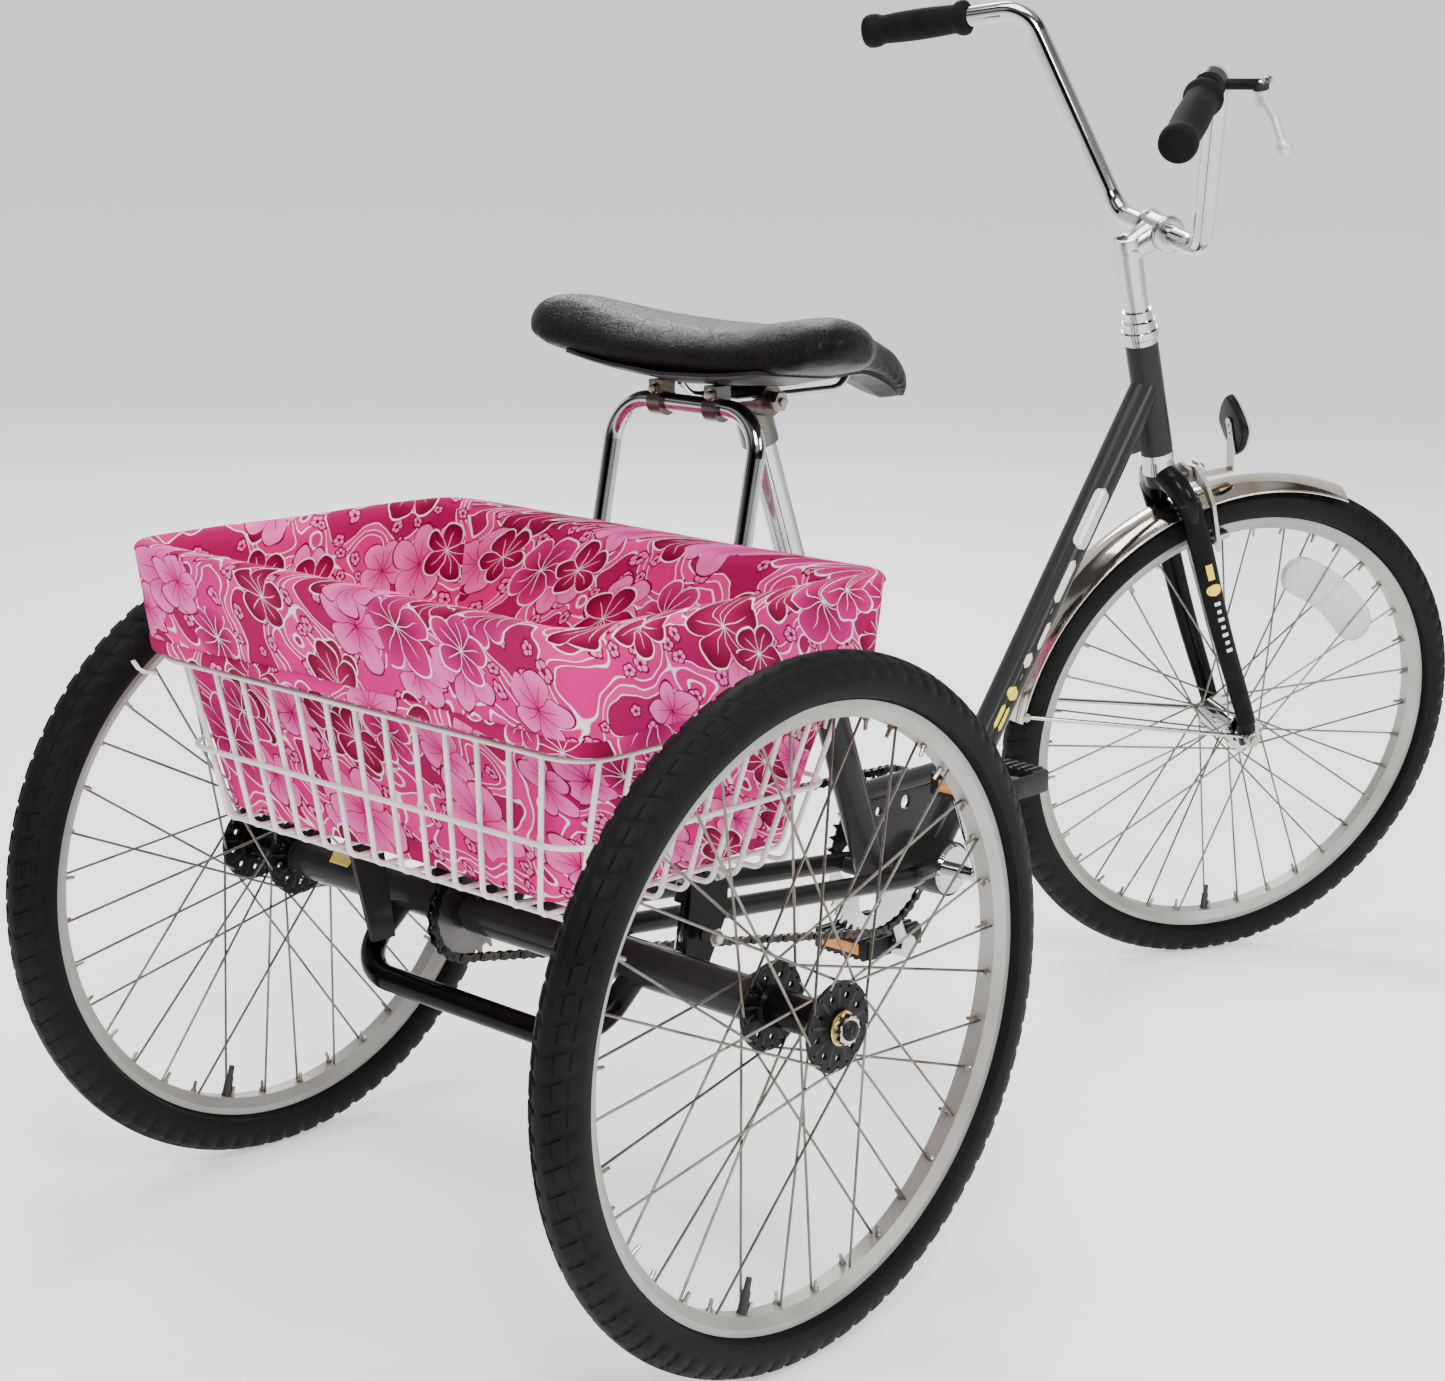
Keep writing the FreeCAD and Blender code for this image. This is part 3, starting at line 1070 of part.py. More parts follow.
# Brake lever on the right side of the bar, turning on a pin held by its perch.
perch_spot = V(GRIP_START.x, -GRIP_START.y, GRIP_START.z) - V(GRIP_WAY.x, -GRIP_WAY.y, GRIP_WAY.z) * 30
perch_way = V(GRIP_WAY.x, -GRIP_WAY.y, GRIP_WAY.z)
LEVER = V(mm("bar_high_ahead") + 15, -mm("bar_high_half") - 49, mm("bar_high") - 25)
pin_top = LEVER + V(0, 0, 13)
perch = Part.makeCylinder(15.5, 15, perch_spot - perch_way * 7.5, perch_way)
arm_way = pin_top - perch_spot
perch = perch.fuse(Part.makeCylinder(5.5, arm_way.Length, perch_spot, arm_way))
perch = perch.fuse(Part.makeCylinder(8, 6, pin_top - V(0, 0, 4.5), V(0, 0, 1)))
perch = perch.fuse(Part.makeCylinder(3, 22, pin_top - V(0, 0, 22), V(0, 0, 1)))
perch = perch.cut(Part.makeCylinder(mm("bar_radius"), 40, perch_spot - perch_way * 20, perch_way))
feature("lever_perch", perch, STEERED)
lever_path = [LEVER, LEVER + V(-14, -44, -9), LEVER + V(-32, -86, -25)]
lever = bent_bar(lever_path, [60.0], 4.5).fuse(Part.makeSphere(8, lever_path[-1]))
lever = lever.fuse(Part.makeCylinder(8, 15, LEVER - V(0, 0, 7), V(0, 0, 1)))
lever = lever.cut(Part.makeCylinder(3.05, 60, LEVER - V(0, 0, 30), V(0, 0, 1)))
feature("brake_lever", lever, STEERED)

# ---------------------------------------------------------------- move to the shared origin, check, write
doc.recompute()
front_way = STEERED.Rotation.multVec(LEFTWARD)
front_reach = ((mm("wheel_radius") - mm("tyre_width") / 2) * math.sqrt(1 - front_way.x ** 2)
               + mm("tyre_width") / 2)
front_end = STEERED.multVec(V(mm("fork_rake"), 0, 0)).x + front_reach
shift = App.Placement(V((mm("wheel_radius") - front_end) / 2, 0, 0), App.Rotation())
for item in NODES.values():
    item.Placement = shift.multiply(item.Placement)
doc.recompute()

for item in doc.Objects:
    if "Invalid" in item.State or "Error" in item.State:
        raise RuntimeError("feature failed: " + item.Name)
os.makedirs("parts", exist_ok=True)
for label, item in NODES.items():
    if item.Shape.isNull() or not item.Shape.isValid():
        raise RuntimeError("bad shape: " + label)
    item.Shape.exportStep("parts/%s.step" % label)
print("pieces", len(NODES), "shift", round(shift.Base.x, 3))
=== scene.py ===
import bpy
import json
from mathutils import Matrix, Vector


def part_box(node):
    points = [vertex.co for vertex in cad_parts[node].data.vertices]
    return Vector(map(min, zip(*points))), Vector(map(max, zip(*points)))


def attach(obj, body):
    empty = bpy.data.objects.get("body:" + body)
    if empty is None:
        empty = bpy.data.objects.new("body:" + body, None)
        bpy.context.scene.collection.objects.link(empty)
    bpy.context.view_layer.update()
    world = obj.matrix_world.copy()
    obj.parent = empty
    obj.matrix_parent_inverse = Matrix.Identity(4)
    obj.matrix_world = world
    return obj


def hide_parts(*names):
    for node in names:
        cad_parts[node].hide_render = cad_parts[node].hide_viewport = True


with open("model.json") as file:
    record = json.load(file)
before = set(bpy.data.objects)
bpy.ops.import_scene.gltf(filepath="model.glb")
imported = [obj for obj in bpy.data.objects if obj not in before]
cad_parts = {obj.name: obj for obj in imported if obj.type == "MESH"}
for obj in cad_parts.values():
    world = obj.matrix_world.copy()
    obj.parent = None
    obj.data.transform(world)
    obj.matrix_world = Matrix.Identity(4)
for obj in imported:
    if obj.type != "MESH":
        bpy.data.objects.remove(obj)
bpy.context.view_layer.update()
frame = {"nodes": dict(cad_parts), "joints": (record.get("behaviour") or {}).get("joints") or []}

import json
import math

import bmesh
import bpy
from mathutils import Matrix, Vector, noise

joints = {joint["name"]: joint for joint in frame["joints"]}
nodes = frame["nodes"]
scene = bpy.context.scene

# ---- Camera ------------------------------------------------------------------------------
# A person's eye height, behind and to the right of the tricycle, looking along it and a
# little down, through a medium long lens.
eye = Vector((-2.12792, -1.6406, 1.0321))
yaw, pitch, roll = math.radians(41.81), math.radians(-12.91), math.radians(1.20)
forward = Vector((math.cos(yaw) * math.cos(pitch), math.sin(yaw) * math.cos(pitch), math.sin(pitch)))
level = Vector((math.sin(yaw), -math.cos(yaw), 0.0))
upward = level.cross(forward)
right_edge = level * math.cos(roll) + upward * math.sin(roll)
top_edge = upward * math.cos(roll) - level * math.sin(roll)


def axes_at(fore, left, up, spot):
    """A placement whose x, y and z axes run along three directions."""
    return Matrix((
        (fore.x, left.x, up.x, spot.x),
        (fore.y, left.y, up.y, spot.y),
        (fore.z, left.z, up.z, spot.z),
        (0.0, 0.0, 0.0, 1.0)))


camera_data = bpy.data.cameras.new("camera")
camera_data.sensor_fit = "HORIZONTAL"
camera_data.sensor_width = 36.0
camera_data.lens = 66.80
camera = bpy.data.objects.new("camera", camera_data)
camera.matrix_world = axes_at(right_edge, top_edge, -forward, eye)
scene.collection.objects.link(camera)
scene.camera = camera


# ---- Floor and light ---------------------------------------------------------------------
# A white seamless floor and soft boxes. The room above it is a pale shell with a few darker
# flags, which give plated and painted tubes something to reflect.
def new_finish(name, base, metallic=0.0, roughness=0.5):
    """A principled material with its plain values set on the shader's own sockets."""
    material = bpy.data.materials.new(name)
    material.use_nodes = True
    shader = material.node_tree.nodes["Principled BSDF"]
    shader.inputs["Base Color"].default_value = (*base, 1.0)
    shader.inputs["Metallic"].default_value = metallic
    shader.inputs["Roughness"].default_value = roughness
    return material, material.node_tree, shader


def add_node(tree, kind, **settings):
    """Adds a shader or geometry node; settings name its own properties."""
    node = tree.nodes.new(kind)
    for key, value in settings.items():
        setattr(node, key, value)
    return node


def feed(tree, source, target, socket):
    """Links an output, or sets a plain value, on a socket given by name or number."""
    if isinstance(source, (int, float, tuple)):
        target.inputs[socket].default_value = source
    else:
        tree.links.new(source, target.inputs[socket])


def calc(tree, operation, first, second=0.0, clamp=False):
    node = add_node(tree, "ShaderNodeMath", operation=operation, use_clamp=clamp)
    feed(tree, first, node, 0)
    feed(tree, second, node, 1)
    return node.outputs[0]


def speckle(tree, scale, detail=3.0, stretch=(1, 1, 1), roughness=0.55):
    """Noise on object coordinates, in turns per metre."""
    place = add_node(tree, "ShaderNodeTexCoord")
    mapping = add_node(tree, "ShaderNodeMapping")
    mapping.inputs["Scale"].default_value = stretch
    feed(tree, place.outputs["Object"], mapping, "Vector")
    grain = add_node(tree, "ShaderNodeTexNoise")
    grain.inputs["Scale"].default_value = scale
    grain.inputs["Detail"].default_value = detail
    grain.inputs["Roughness"].default_value = roughness
    feed(tree, mapping.outputs[0], grain, "Vector")
    return grain.outputs["Fac"]


def between(tree, factor, low, high, start=0.0, end=1.0):
    """Maps a factor from start..end to low..high."""
    node = add_node(tree, "ShaderNodeMapRange")
    feed(tree, factor, node, "Value")
    node.inputs["From Min"].default_value = start
    node.inputs["From Max"].default_value = end
    node.inputs["To Min"].default_value = low
    node.inputs["To Max"].default_value = high
    return node.outputs[0]


def blend_colour(tree, factor, low, high):
    node = add_node(tree, "ShaderNodeMix", data_type="RGBA")
    feed(tree, factor, node, 0)
    feed(tree, low if not isinstance(low, tuple) else (*low, 1.0), node, 6)
    feed(tree, high if not isinstance(high, tuple) else (*high, 1.0), node, 7)
    return node.outputs[2]


def roughen(tree, shader, height, strength, distance):
    """Bump from a height, with distance in metres."""
    bump = add_node(tree, "ShaderNodeBump")
    bump.inputs["Strength"].default_value = strength
    bump.inputs["Distance"].default_value = distance
    feed(tree, height, bump, "Height")
    feed(tree, bump.outputs[0], shader, "Normal")
    return bump


floor_white, tree, shader = new_finish("floor_white", (0.95, 0.95, 0.95), roughness=0.8)
shader.inputs["Specular IOR Level"].default_value = 0.2
feed(tree, blend_colour(tree, speckle(tree, 3.0), (0.945, 0.945, 0.945), (0.955, 0.955, 0.955)), shader,
     "Base Color")
shader.inputs["Emission Color"].default_value = (1.0, 1.0, 1.0, 1.0)
shader.inputs["Emission Strength"].default_value = 0.6
sweep_rows = [(-60 + 2 * step, 0.0) for step in range(36)]
sweep_rows += [(12 + 14 * math.sin(math.radians(turn)), 14 - 14 * math.cos(math.radians(turn)))
               for turn in range(6, 91, 6)]
sweep_rows.append((26.0, 50.0))
points, faces = [], []
look = Vector((math.cos(yaw), math.sin(yaw), 0))
beside = Vector((-look.y, look.x, 0))
for along, height in sweep_rows:
    points += [look * along + beside * 70 + Vector((0, 0, height)),
               look * along - beside * 70 + Vector((0, 0, height))]
faces = [(2 * n, 2 * n + 1, 2 * n + 3, 2 * n + 2) for n in range(len(sweep_rows) - 1)]
floor_mesh = bpy.data.meshes.new("floor")
floor_mesh.from_pydata(points, [], faces)
floor_mesh.materials.append(floor_white)
floor_mesh.polygons.foreach_set("use_smooth", [True] * len(floor_mesh.polygons))
floor = bpy.data.objects.new("floor", floor_mesh)
scene.collection.objects.link(floor)

world = bpy.data.worlds.new("studio")
scene.world = world
world.use_nodes = True
tree = world.node_tree
sky_place = add_node(tree, "ShaderNodeTexCoord")
split = add_node(tree, "ShaderNodeSeparateXYZ")
feed(tree, sky_place.outputs["Generated"], split, 0)
ramp = add_node(tree, "ShaderNodeValToRGB")
feed(tree, split.outputs["Z"], ramp, 0)
ramp.color_ramp.elements[0].position = 0.0
ramp.color_ramp.elements[0].color = (1, 1, 1, 1)
ramp.color_ramp.elements[1].position = 1.0
ramp.color_ramp.elements[1].color = (0.95, 0.95, 0.96, 1)
for position, value in ((0.10, 1.0), (0.15, 0.10), (0.27, 0.08), (0.34, 1.0), (0.56, 1.0), (0.62, 0.18),
                        (0.76, 0.16), (0.84, 1.0)):
    step = ramp.color_ramp.elements.new(position)
    step.color = (value, value, value * 1.01, 1)
# Tall dark flags stand round the sides, so bright tubes carry dark stripes along them.
heading = calc(tree, "ARCTAN2", split.outputs["Y"], split.outputs["X"])
flags = between(tree, calc(tree, "SINE", calc(tree, "ADD", calc(tree, "MULTIPLY", heading, 4.0), 0.6)), 1.0,
                0.06, -0.15, 0.10)
flags.node.clamp = True
flag_height = between(tree, split.outputs["Z"], 1.0, 0.0, 0.45, 0.60)
flagged = add_node(tree, "ShaderNodeMix", data_type="RGBA", blend_type="MULTIPLY")
feed(tree, flag_height, flagged, 0)
feed(tree, ramp.outputs[0], flagged, 6)
feed(tree, flags, flagged, 7)
background = tree.nodes["Background"]
feed(tree, flagged.outputs[2], background, 0)
background.inputs[1].default_value = 0.5
for name, place, aim, wide, power in (("key_light", (-2.6, -2.4, 3.4), (0, 0, 0.4), 1.5, 150),
                                      ("side_light", (0.6, -3.6, 2.4), (0.2, 0, 0.4), 1.3, 80),
                                      ("back_light", (2.4, 2.8, 3.0), (0, 0, 0.5), 1.6, 110),
                                      ("top_light", (-0.4, 0.2, 3.6), (0, 0, 0), 2.0, 90)):
    lamp = bpy.data.lights.new(name, "AREA")
    lamp.shape = "SQUARE"
    lamp.size = wide
    lamp.energy = power
    lamp_object = bpy.data.objects.new(name, lamp)
    lamp_object.location = place
    lamp_object.rotation_euler = (Vector(aim) - Vector(place)).to_track_quat("-Z", "Y").to_euler()
    scene.collection.objects.link(lamp_object)


# ---- Tyres -------------------------------------------------------------------------------
# Black rubber balloon tyres. The casing is round; chevron tread blocks stand on its crown,
# with a middle rib, and each tyre is one moulding made of the same short piece repeated.
def plain_piece(name, points, faces, material, smooth=True):
    """A mesh object from points and faces, with one finish."""
    mesh = bpy.data.meshes.new(name)
    mesh.from_pydata([tuple(point) for point in points], [], faces)
    mesh.materials.append(material)
    mesh.validate()
    if smooth:
        mesh.polygons.foreach_set("use_smooth", [True] * len(mesh.polygons))
    piece = bpy.data.objects.new(name, mesh)
    scene.collection.objects.link(piece)
    return piece


def face_outwards(piece, merge=0.00002):
    """Merges points that lie closer than merge, and turns every face outwards."""
    shape = bmesh.new()
    shape.from_mesh(piece.data)
    if merge:
        bmesh.ops.remove_doubles(shape, verts=shape.verts, dist=merge)
    bmesh.ops.recalc_face_normals(shape, faces=shape.faces)
    shape.to_mesh(piece.data)
    shape.free()
    return piece


def sharpen(piece, degrees=35):
    """Smooth faces with sharp edges where they meet at more than an angle."""
    shape = bmesh.new()
    shape.from_mesh(piece.data)
    for edge in shape.edges:
        edge.smooth = not (len(edge.link_faces) == 2 and edge.calc_face_angle(0.0) > math.radians(degrees))
    for face in shape.faces:
        face.smooth = True
    shape.to_mesh(piece.data)
    shape.free()
    return piece


def sheet_faces(rows, columns, base=0):
    """Quads between rows of points."""
    return [(base + row * columns + n, base + row * columns + n + 1,
             base + (row + 1) * columns + n + 1, base + (row + 1) * columns + n)
            for row in range(rows - 1) for n in range(columns - 1)]


def settle(piece):
    """Turns a piece with its modifiers into a plain mesh."""
    bpy.context.view_layer.update()
    mesh = bpy.data.meshes.new_from_object(piece.evaluated_get(bpy.context.evaluated_depsgraph_get()))
    piece.modifiers.clear()
    piece.data = mesh
    return piece


def mount(piece, body, place=None, stands_for=None):
    """Moves a piece's mesh to its place, and ties it to its body, its finish and what it stands for."""
    if place is not None:
        piece.data.transform(place)
    if stands_for is not None:
        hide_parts(stands_for)
    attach(piece, body)
    return piece


def geometry_tree(name, inputs):
    """An empty Geometry Nodes tree with a geometry in and out and named inputs."""
    tree = bpy.data.node_groups.new(name, "GeometryNodeTree")
    tree.interface.new_socket("Geometry", in_out="INPUT", socket_type="NodeSocketGeometry")
    for label, kind, value in inputs:
        socket = tree.interface.new_socket(label, in_out="INPUT", socket_type=kind)
        if value is not None:
            socket.default_value = value
    tree.interface.new_socket("Geometry", in_out="OUTPUT", socket_type="NodeSocketGeometry")
    return tree, tree.nodes.new("NodeGroupInput"), tree.nodes.new("NodeGroupOutput")


def grow(piece, tree, values):
    """Runs a Geometry Nodes tree on a piece and keeps the result as its plain mesh."""
    modifier = piece.modifiers.new(tree.name, "NODES")
    modifier.node_group = tree
    for item in tree.interface.items_tree:
        if item.in_out == "INPUT" and item.name in values:
            modifier[item.identifier] = values[item.name]
    return settle(piece)


def axle_repeat():
    """Repeats a piece evenly about the Y axis."""
    tree, entry, leave = geometry_tree("repeat_about_axle", (("Count", "NodeSocketInt", 12),
                                                             ("Start", "NodeSocketFloat", 0.0),
                                                             ("Finish", "NodeSocketMaterial", None)))
    dots = add_node(tree, "GeometryNodeMeshLine", mode="OFFSET")
    feed(tree, entry.outputs["Count"], dots, "Count")
    dots.inputs["Offset"].default_value = (0.0, 0.0, 0.0)
    turn = add_node(tree, "ShaderNodeMath", operation="DIVIDE")
    turn.inputs[0].default_value = 2 * math.pi
    feed(tree, entry.outputs["Count"], turn, 1)
    index = add_node(tree, "GeometryNodeInputIndex")
    angle = add_node(tree, "ShaderNodeMath", operation="MULTIPLY_ADD")
    feed(tree, index.outputs[0], angle, 0)
    feed(tree, turn.outputs[0], angle, 1)
    feed(tree, entry.outputs["Start"], angle, 2)
    spin = add_node(tree, "ShaderNodeCombineXYZ")
    feed(tree, angle.outputs[0], spin, "Y")
    place = add_node(tree, "GeometryNodeInstanceOnPoints")
    feed(tree, dots.outputs[0], place, "Points")
    feed(tree, entry.outputs["Geometry"], place, "Instance")
    feed(tree, spin.outputs[0], place, "Rotation")
    real = add_node(tree, "GeometryNodeRealizeInstances")
    feed(tree, place.outputs[0], real, 0)
    weld = add_node(tree, "GeometryNodeMergeByDistance")
    weld.inputs["Distance"].default_value = 0.00001
    feed(tree, real.outputs[0], weld, 0)
    finish = add_node(tree, "GeometryNodeSetMaterial")
    feed(tree, weld.outputs[0], finish, 0)
    feed(tree, entry.outputs["Finish"], finish, "Material")
    feed(tree, finish.outputs[0], leave, 0)
    return tree


axle_ring = axle_repeat()
tyre_rubber, tree, shader = new_finish("tyre_rubber", (0.012, 0.012, 0.013), roughness=0.62)
dust = speckle(tree, 9.0, 5.0)
pores = speckle(tree, 900.0, 2.0)
feed(tree, blend_colour(tree, between(tree, dust, 0.0, 1.0, 0.35, 0.8), (0.0025, 0.0025, 0.003),
                        (0.0085, 0.008, 0.008)), shader, "Base Color")
feed(tree, between(tree, pores, 0.50, 0.74), shader, "Roughness")
roughen(tree, shader, pores, 0.35, 0.0004)
shader.inputs["Specular IOR Level"].default_value = 0.12

axle_ahead = Vector(joints["front_wheel_spin"]["axis"])
steer_up = Vector(joints["steering_turn"]["axis"])
steer_fore = axle_ahead.cross(steer_up).normalized()
wheels = {}
for side, joint in (("left", "left_wheel_spin"), ("right", "right_wheel_spin"),
                    ("front", "front_wheel_spin")):
    hub_spot = Vector(joints[joint]["pos_m"])
    along = Vector(joints[joint]["axis"]).normalized()
    fore = steer_fore if side == "front" else Vector((1, 0, 0))
    wheel_up = fore.cross(along).normalized()
    wheels[side] = axes_at(fore, along, wheel_up, hub_spot)
wheel_body = {"left": "left_wheel", "right": "drive", "front": "front_wheel"}
low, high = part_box("right_tyre")
tyre_outer = (high.z - low.z) / 2 + 0.0001
tyre_half = (high.y - low.y) / 2

tread_pitch_count = 84
lug_depth = 0.0022
casing = tyre_outer - tyre_half
profile = []
for step in range(-15, 16):
    turn = math.radians(step * 7.6)
    round_y = tyre_half * math.sin(turn)
    round_r = casing + tyre_half * math.cos(turn)
    profile.append((round_y, round_r, abs(step)))
bead_y, bead_r = 0.0114, 0.2553
profile = ([(-bead_y, bead_r, 20), (-bead_y, 0.2606, 20), (-0.0148, 0.2612, 19)] + profile
           + [(0.0148, 0.2612, 19), (bead_y, 0.2606, 20), (bead_y, bead_r, 20)])
around = (0.0, 0.11, 0.17, 0.50, 0.83, 0.89, 1.0)
points = []
for share in around:
    for spot_y, spot_r, step in profile:
        lag = 0.55 * min(abs(spot_y) / tyre_half, 0.97) if step < 12 else 0.5335
        in_groove = not 0.15 < share < 0.85
        depth = 0.0
        if step <= 9:
            # The middle rib is whole; two channels run round beside it, and grooves cross it.
            depth = lug_depth if step > 1 and (in_groove or step in (3, 7)) else 0.0
        elif step < 17:
            depth = lug_depth * 0.55
        turn = (share + lag) * 2 * math.pi / tread_pitch_count
        swell = max(spot_r - depth, bead_r)
        points.append((swell * math.sin(turn), spot_y, swell * math.cos(turn)))
across = len(profile)
faces = sheet_faces(len(around), across)
faces += [(row * across + across - 1, row * across, (row + 1) * across, (row + 1) * across + across - 1)
          for row in range(len(around) - 1)]
for side, place in wheels.items():
    tyre = plain_piece(side + "_tyre_tread", points, faces, tyre_rubber)
    grow(tyre, axle_ring, {"Count": tread_pitch_count, "Start": 0.0, "Finish": tyre_rubber})
    sharpen(face_outwards(tyre), 38)
    mount(tyre, wheel_body[side], place, side + "_tyre")


# ---- Rims and spokes ---------------------------------------------------------------------
# Anodised alloy rims, turned, so fine rings follow them round. Steel spokes cross from the hub to
# short plated nipples, and a valve stands inside.
def wear_mask(tree, sharpness=1.0):
    """Brightens convex edges, as rubbing does."""
    shape = add_node(tree, "ShaderNodeNewGeometry")
    return between(tree, shape.outputs["Pointiness"], 0.0, sharpness, 0.52, 0.60)


def turned_alloy(name, place, base, bright):
    """Bare alloy with rings about an axle."""
    material, tree, shader = new_finish(name, base, metallic=0.55, roughness=0.45)
    where = add_node(tree, "ShaderNodeTexCoord")
    offset = add_node(tree, "ShaderNodeVectorMath", operation="SUBTRACT")
    feed(tree, where.outputs["Object"], offset, 0)
    offset.inputs[1].default_value = place.translation
    sideways = add_node(tree, "ShaderNodeVectorMath", operation="CROSS_PRODUCT")
    feed(tree, offset.outputs[0], sideways, 0)
    sideways.inputs[1].default_value = place.col[1].xyz
    reach = add_node(tree, "ShaderNodeVectorMath", operation="LENGTH")
    feed(tree, sideways.outputs[0], reach, 0)
    rings = add_node(tree, "ShaderNodeTexNoise", noise_dimensions="1D")
    rings.inputs["Scale"].default_value = 1500.0
    feed(tree, reach.outputs["Value"], rings, "W")
    stains = speckle(tree, 14.0, 4.0)
    feed(tree, blend_colour(tree, between(tree, stains, 0.0, 1.0, 0.3, 0.75), base, bright), shader,
         "Base Color")
    feed(tree, between(tree, rings.outputs["Fac"], 0.36, 0.56), shader, "Roughness")
    roughen(tree, shader, rings.outputs["Fac"], 0.25, 0.0002)
    return material


def drawn_steel(name, base, tarnish, metallic=1.0):
    """Plated wire or small hardware with patches of tarnish."""
    material, tree, shader = new_finish(name, base, metallic=metallic, roughness=0.28)
    patches = speckle(tree, 22.0, 4.0)
    feed(tree, blend_colour(tree, between(tree, patches, 0.0, 1.0, 0.42, 0.7), base, tarnish), shader,
         "Base Color")
    feed(tree, between(tree, speckle(tree, 400.0), 0.20, 0.40), shader, "Roughness")
    return material


spoke_steel = drawn_steel("spoke_steel", (0.20, 0.19, 0.17), (0.11, 0.09, 0.065))
nipple_plate = drawn_steel("nipple_plate", (0.42, 0.40, 0.36), (0.28, 0.22, 0.14))
valve_rubber, tree, shader = new_finish("valve_rubber", (0.02, 0.02, 0.02), roughness=0.6)
feed(tree, between(tree, speckle(tree, 500.0), 0.5, 0.7), shader, "Roughness")


def lathe_piece(name, outline, material, segments=24, closed=False):
    """A turned solid about Y from (along, radius) points; ends on the axis are closed."""
    points = []
    for number in range(segments):
        turn = 2 * math.pi * number / segments
        points += [(radius * math.sin(turn), along, radius * math.cos(turn)) for along, radius in outline]
    count = len(outline)
    faces = []
    last = count if closed else count - 1
    for number in range(segments):
        following = (number + 1) % segments
        for step in range(last):
            after = (step + 1) % count
            faces.append((number * count + step, number * count + after, following * count + after,
                          following * count + step))
    return sharpen(face_outwards(plain_piece(name, points, faces, material)), 35)


def join_pieces(parts, name):
    """Joins pieces into the first one and names it."""
    bpy.ops.object.select_all(action="DESELECT")
    for part in parts:
        part.select_set(True)
    bpy.context.view_layer.objects.active = parts[0]
    bpy.ops.object.join()
    parts[0].name = name
    return parts[0]


def paint(finish, *labels):
    """Gives modelled pieces their finish."""
    for label in labels:
        nodes[label].material_slots[0].material = finish


spoke_pairs = 18
rim_floor = 0.2450
for side, place in wheels.items():
    alloy = turned_alloy(side + "_rim_alloy", place, (0.30, 0.29, 0.265), (0.40, 0.395, 0.375))
    paint(alloy, side + "_rim")
    paint(spoke_steel, side + "_spokes")
    collars = []
    for flange in (-1, 1):
        nipple = lathe_piece("nipple_seed", [(-0.0105, 0.0), (-0.0105, 0.0017), (-0.003, 0.0019),
                                             (-0.0025, 0.0030), (0.0015, 0.0032), (0.0015, 0.0)],
                             nipple_plate, 10)
        # Each nipple points along its spoke, a little off the rim's radius.
        lean = Matrix.Rotation(math.radians(90 + flange * 7.2), 4, "X")
        nipple.data.transform(Matrix.Translation((0, flange * 0.003, rim_floor)) @ lean)
        turn = math.radians(90) + 2 * math.pi * (-0.25 * flange) / spoke_pairs
        grow(nipple, axle_ring, {"Count": spoke_pairs, "Start": turn, "Finish": nipple_plate})
        collars.append(nipple)
    valve = lathe_piece("valve_seed", [(-0.030, 0.0), (-0.030, 0.0026), (-0.020, 0.0030), (-0.018, 0.0040),
                                       (-0.004, 0.0042), (0.002, 0.0052), (0.002, 0.0)], valve_rubber, 14)
    valve.data.transform(Matrix.Rotation(math.radians(196), 4, "Y") @ Matrix.Translation((0, 0, rim_floor))
                         @ Matrix.Rotation(math.radians(90), 4, "X"))
    mount(join_pieces(collars, side + "_nipples"), wheel_body[side], place)
    valve.name = side + "_valve"
    mount(valve, wheel_body[side], place)


# ---- Hubs and axle ends ------------------------------------------------------------------
# Rear hubs are black-painted steel shells with wide flanges, drilled for the spokes and with
# lightening holes. The front hub is plated. Brass washers, plated nuts and caps hold them.
def enamel(name, base, roughness=0.13, chip=(0.05, 0.05, 0.05)):
    """Gloss enamel with faint orange peel, dust and rubbed edges."""
    material, tree, shader = new_finish(name, base, roughness=roughness)
    shader.inputs["Specular IOR Level"].default_value = 0.075
    film = between(tree, speckle(tree, 30.0, 5.0), 0.0, 1.0, 0.45, 0.8)
    dusty = blend_colour(tree, calc(tree, "MULTIPLY", film, 0.4), base,
                         tuple(min(1.0, c + 0.010) for c in base))
    feed(tree, blend_colour(tree, calc(tree, "MULTIPLY", wear_mask(tree), 0.5), dusty, chip), shader,
         "Base Color")
    feed(tree, between(tree, speckle(tree, 60.0, 3.0), roughness * 0.7, roughness * 1.7), shader, "Roughness")
    roughen(tree, shader, speckle(tree, 420.0, 1.0), 0.06, 0.0003)
    return material


def plating(name, base=(0.50, 0.51, 0.52), roughness=0.05, haze_and_reflection_tint=(0.35, 0.335, 0.30)):
    """Chrome or nickel: bright, with faint hazy patches and fine wiping marks. On the fender, the warm base
    colour and the brown patches are a painted reflection.
    """
    material, tree, shader = new_finish(name, base, metallic=1.0, roughness=roughness)
    haze_and_reflection_patches = between(tree, speckle(tree, 18.0, 5.0), 0.0, 1.0, 0.5, 0.85)
    feed(tree, blend_colour(tree, haze_and_reflection_patches, base, haze_and_reflection_tint), shader, "Base Color")
    feed(tree, between(tree, speckle(tree, 70.0, 4.0, (1, 1, 0.2)), roughness * 0.6, roughness * 2.4), shader,
         "Roughness")
    roughen(tree, shader, speckle(tree, 650.0, 2.0), 0.04, 0.0002)
    return material


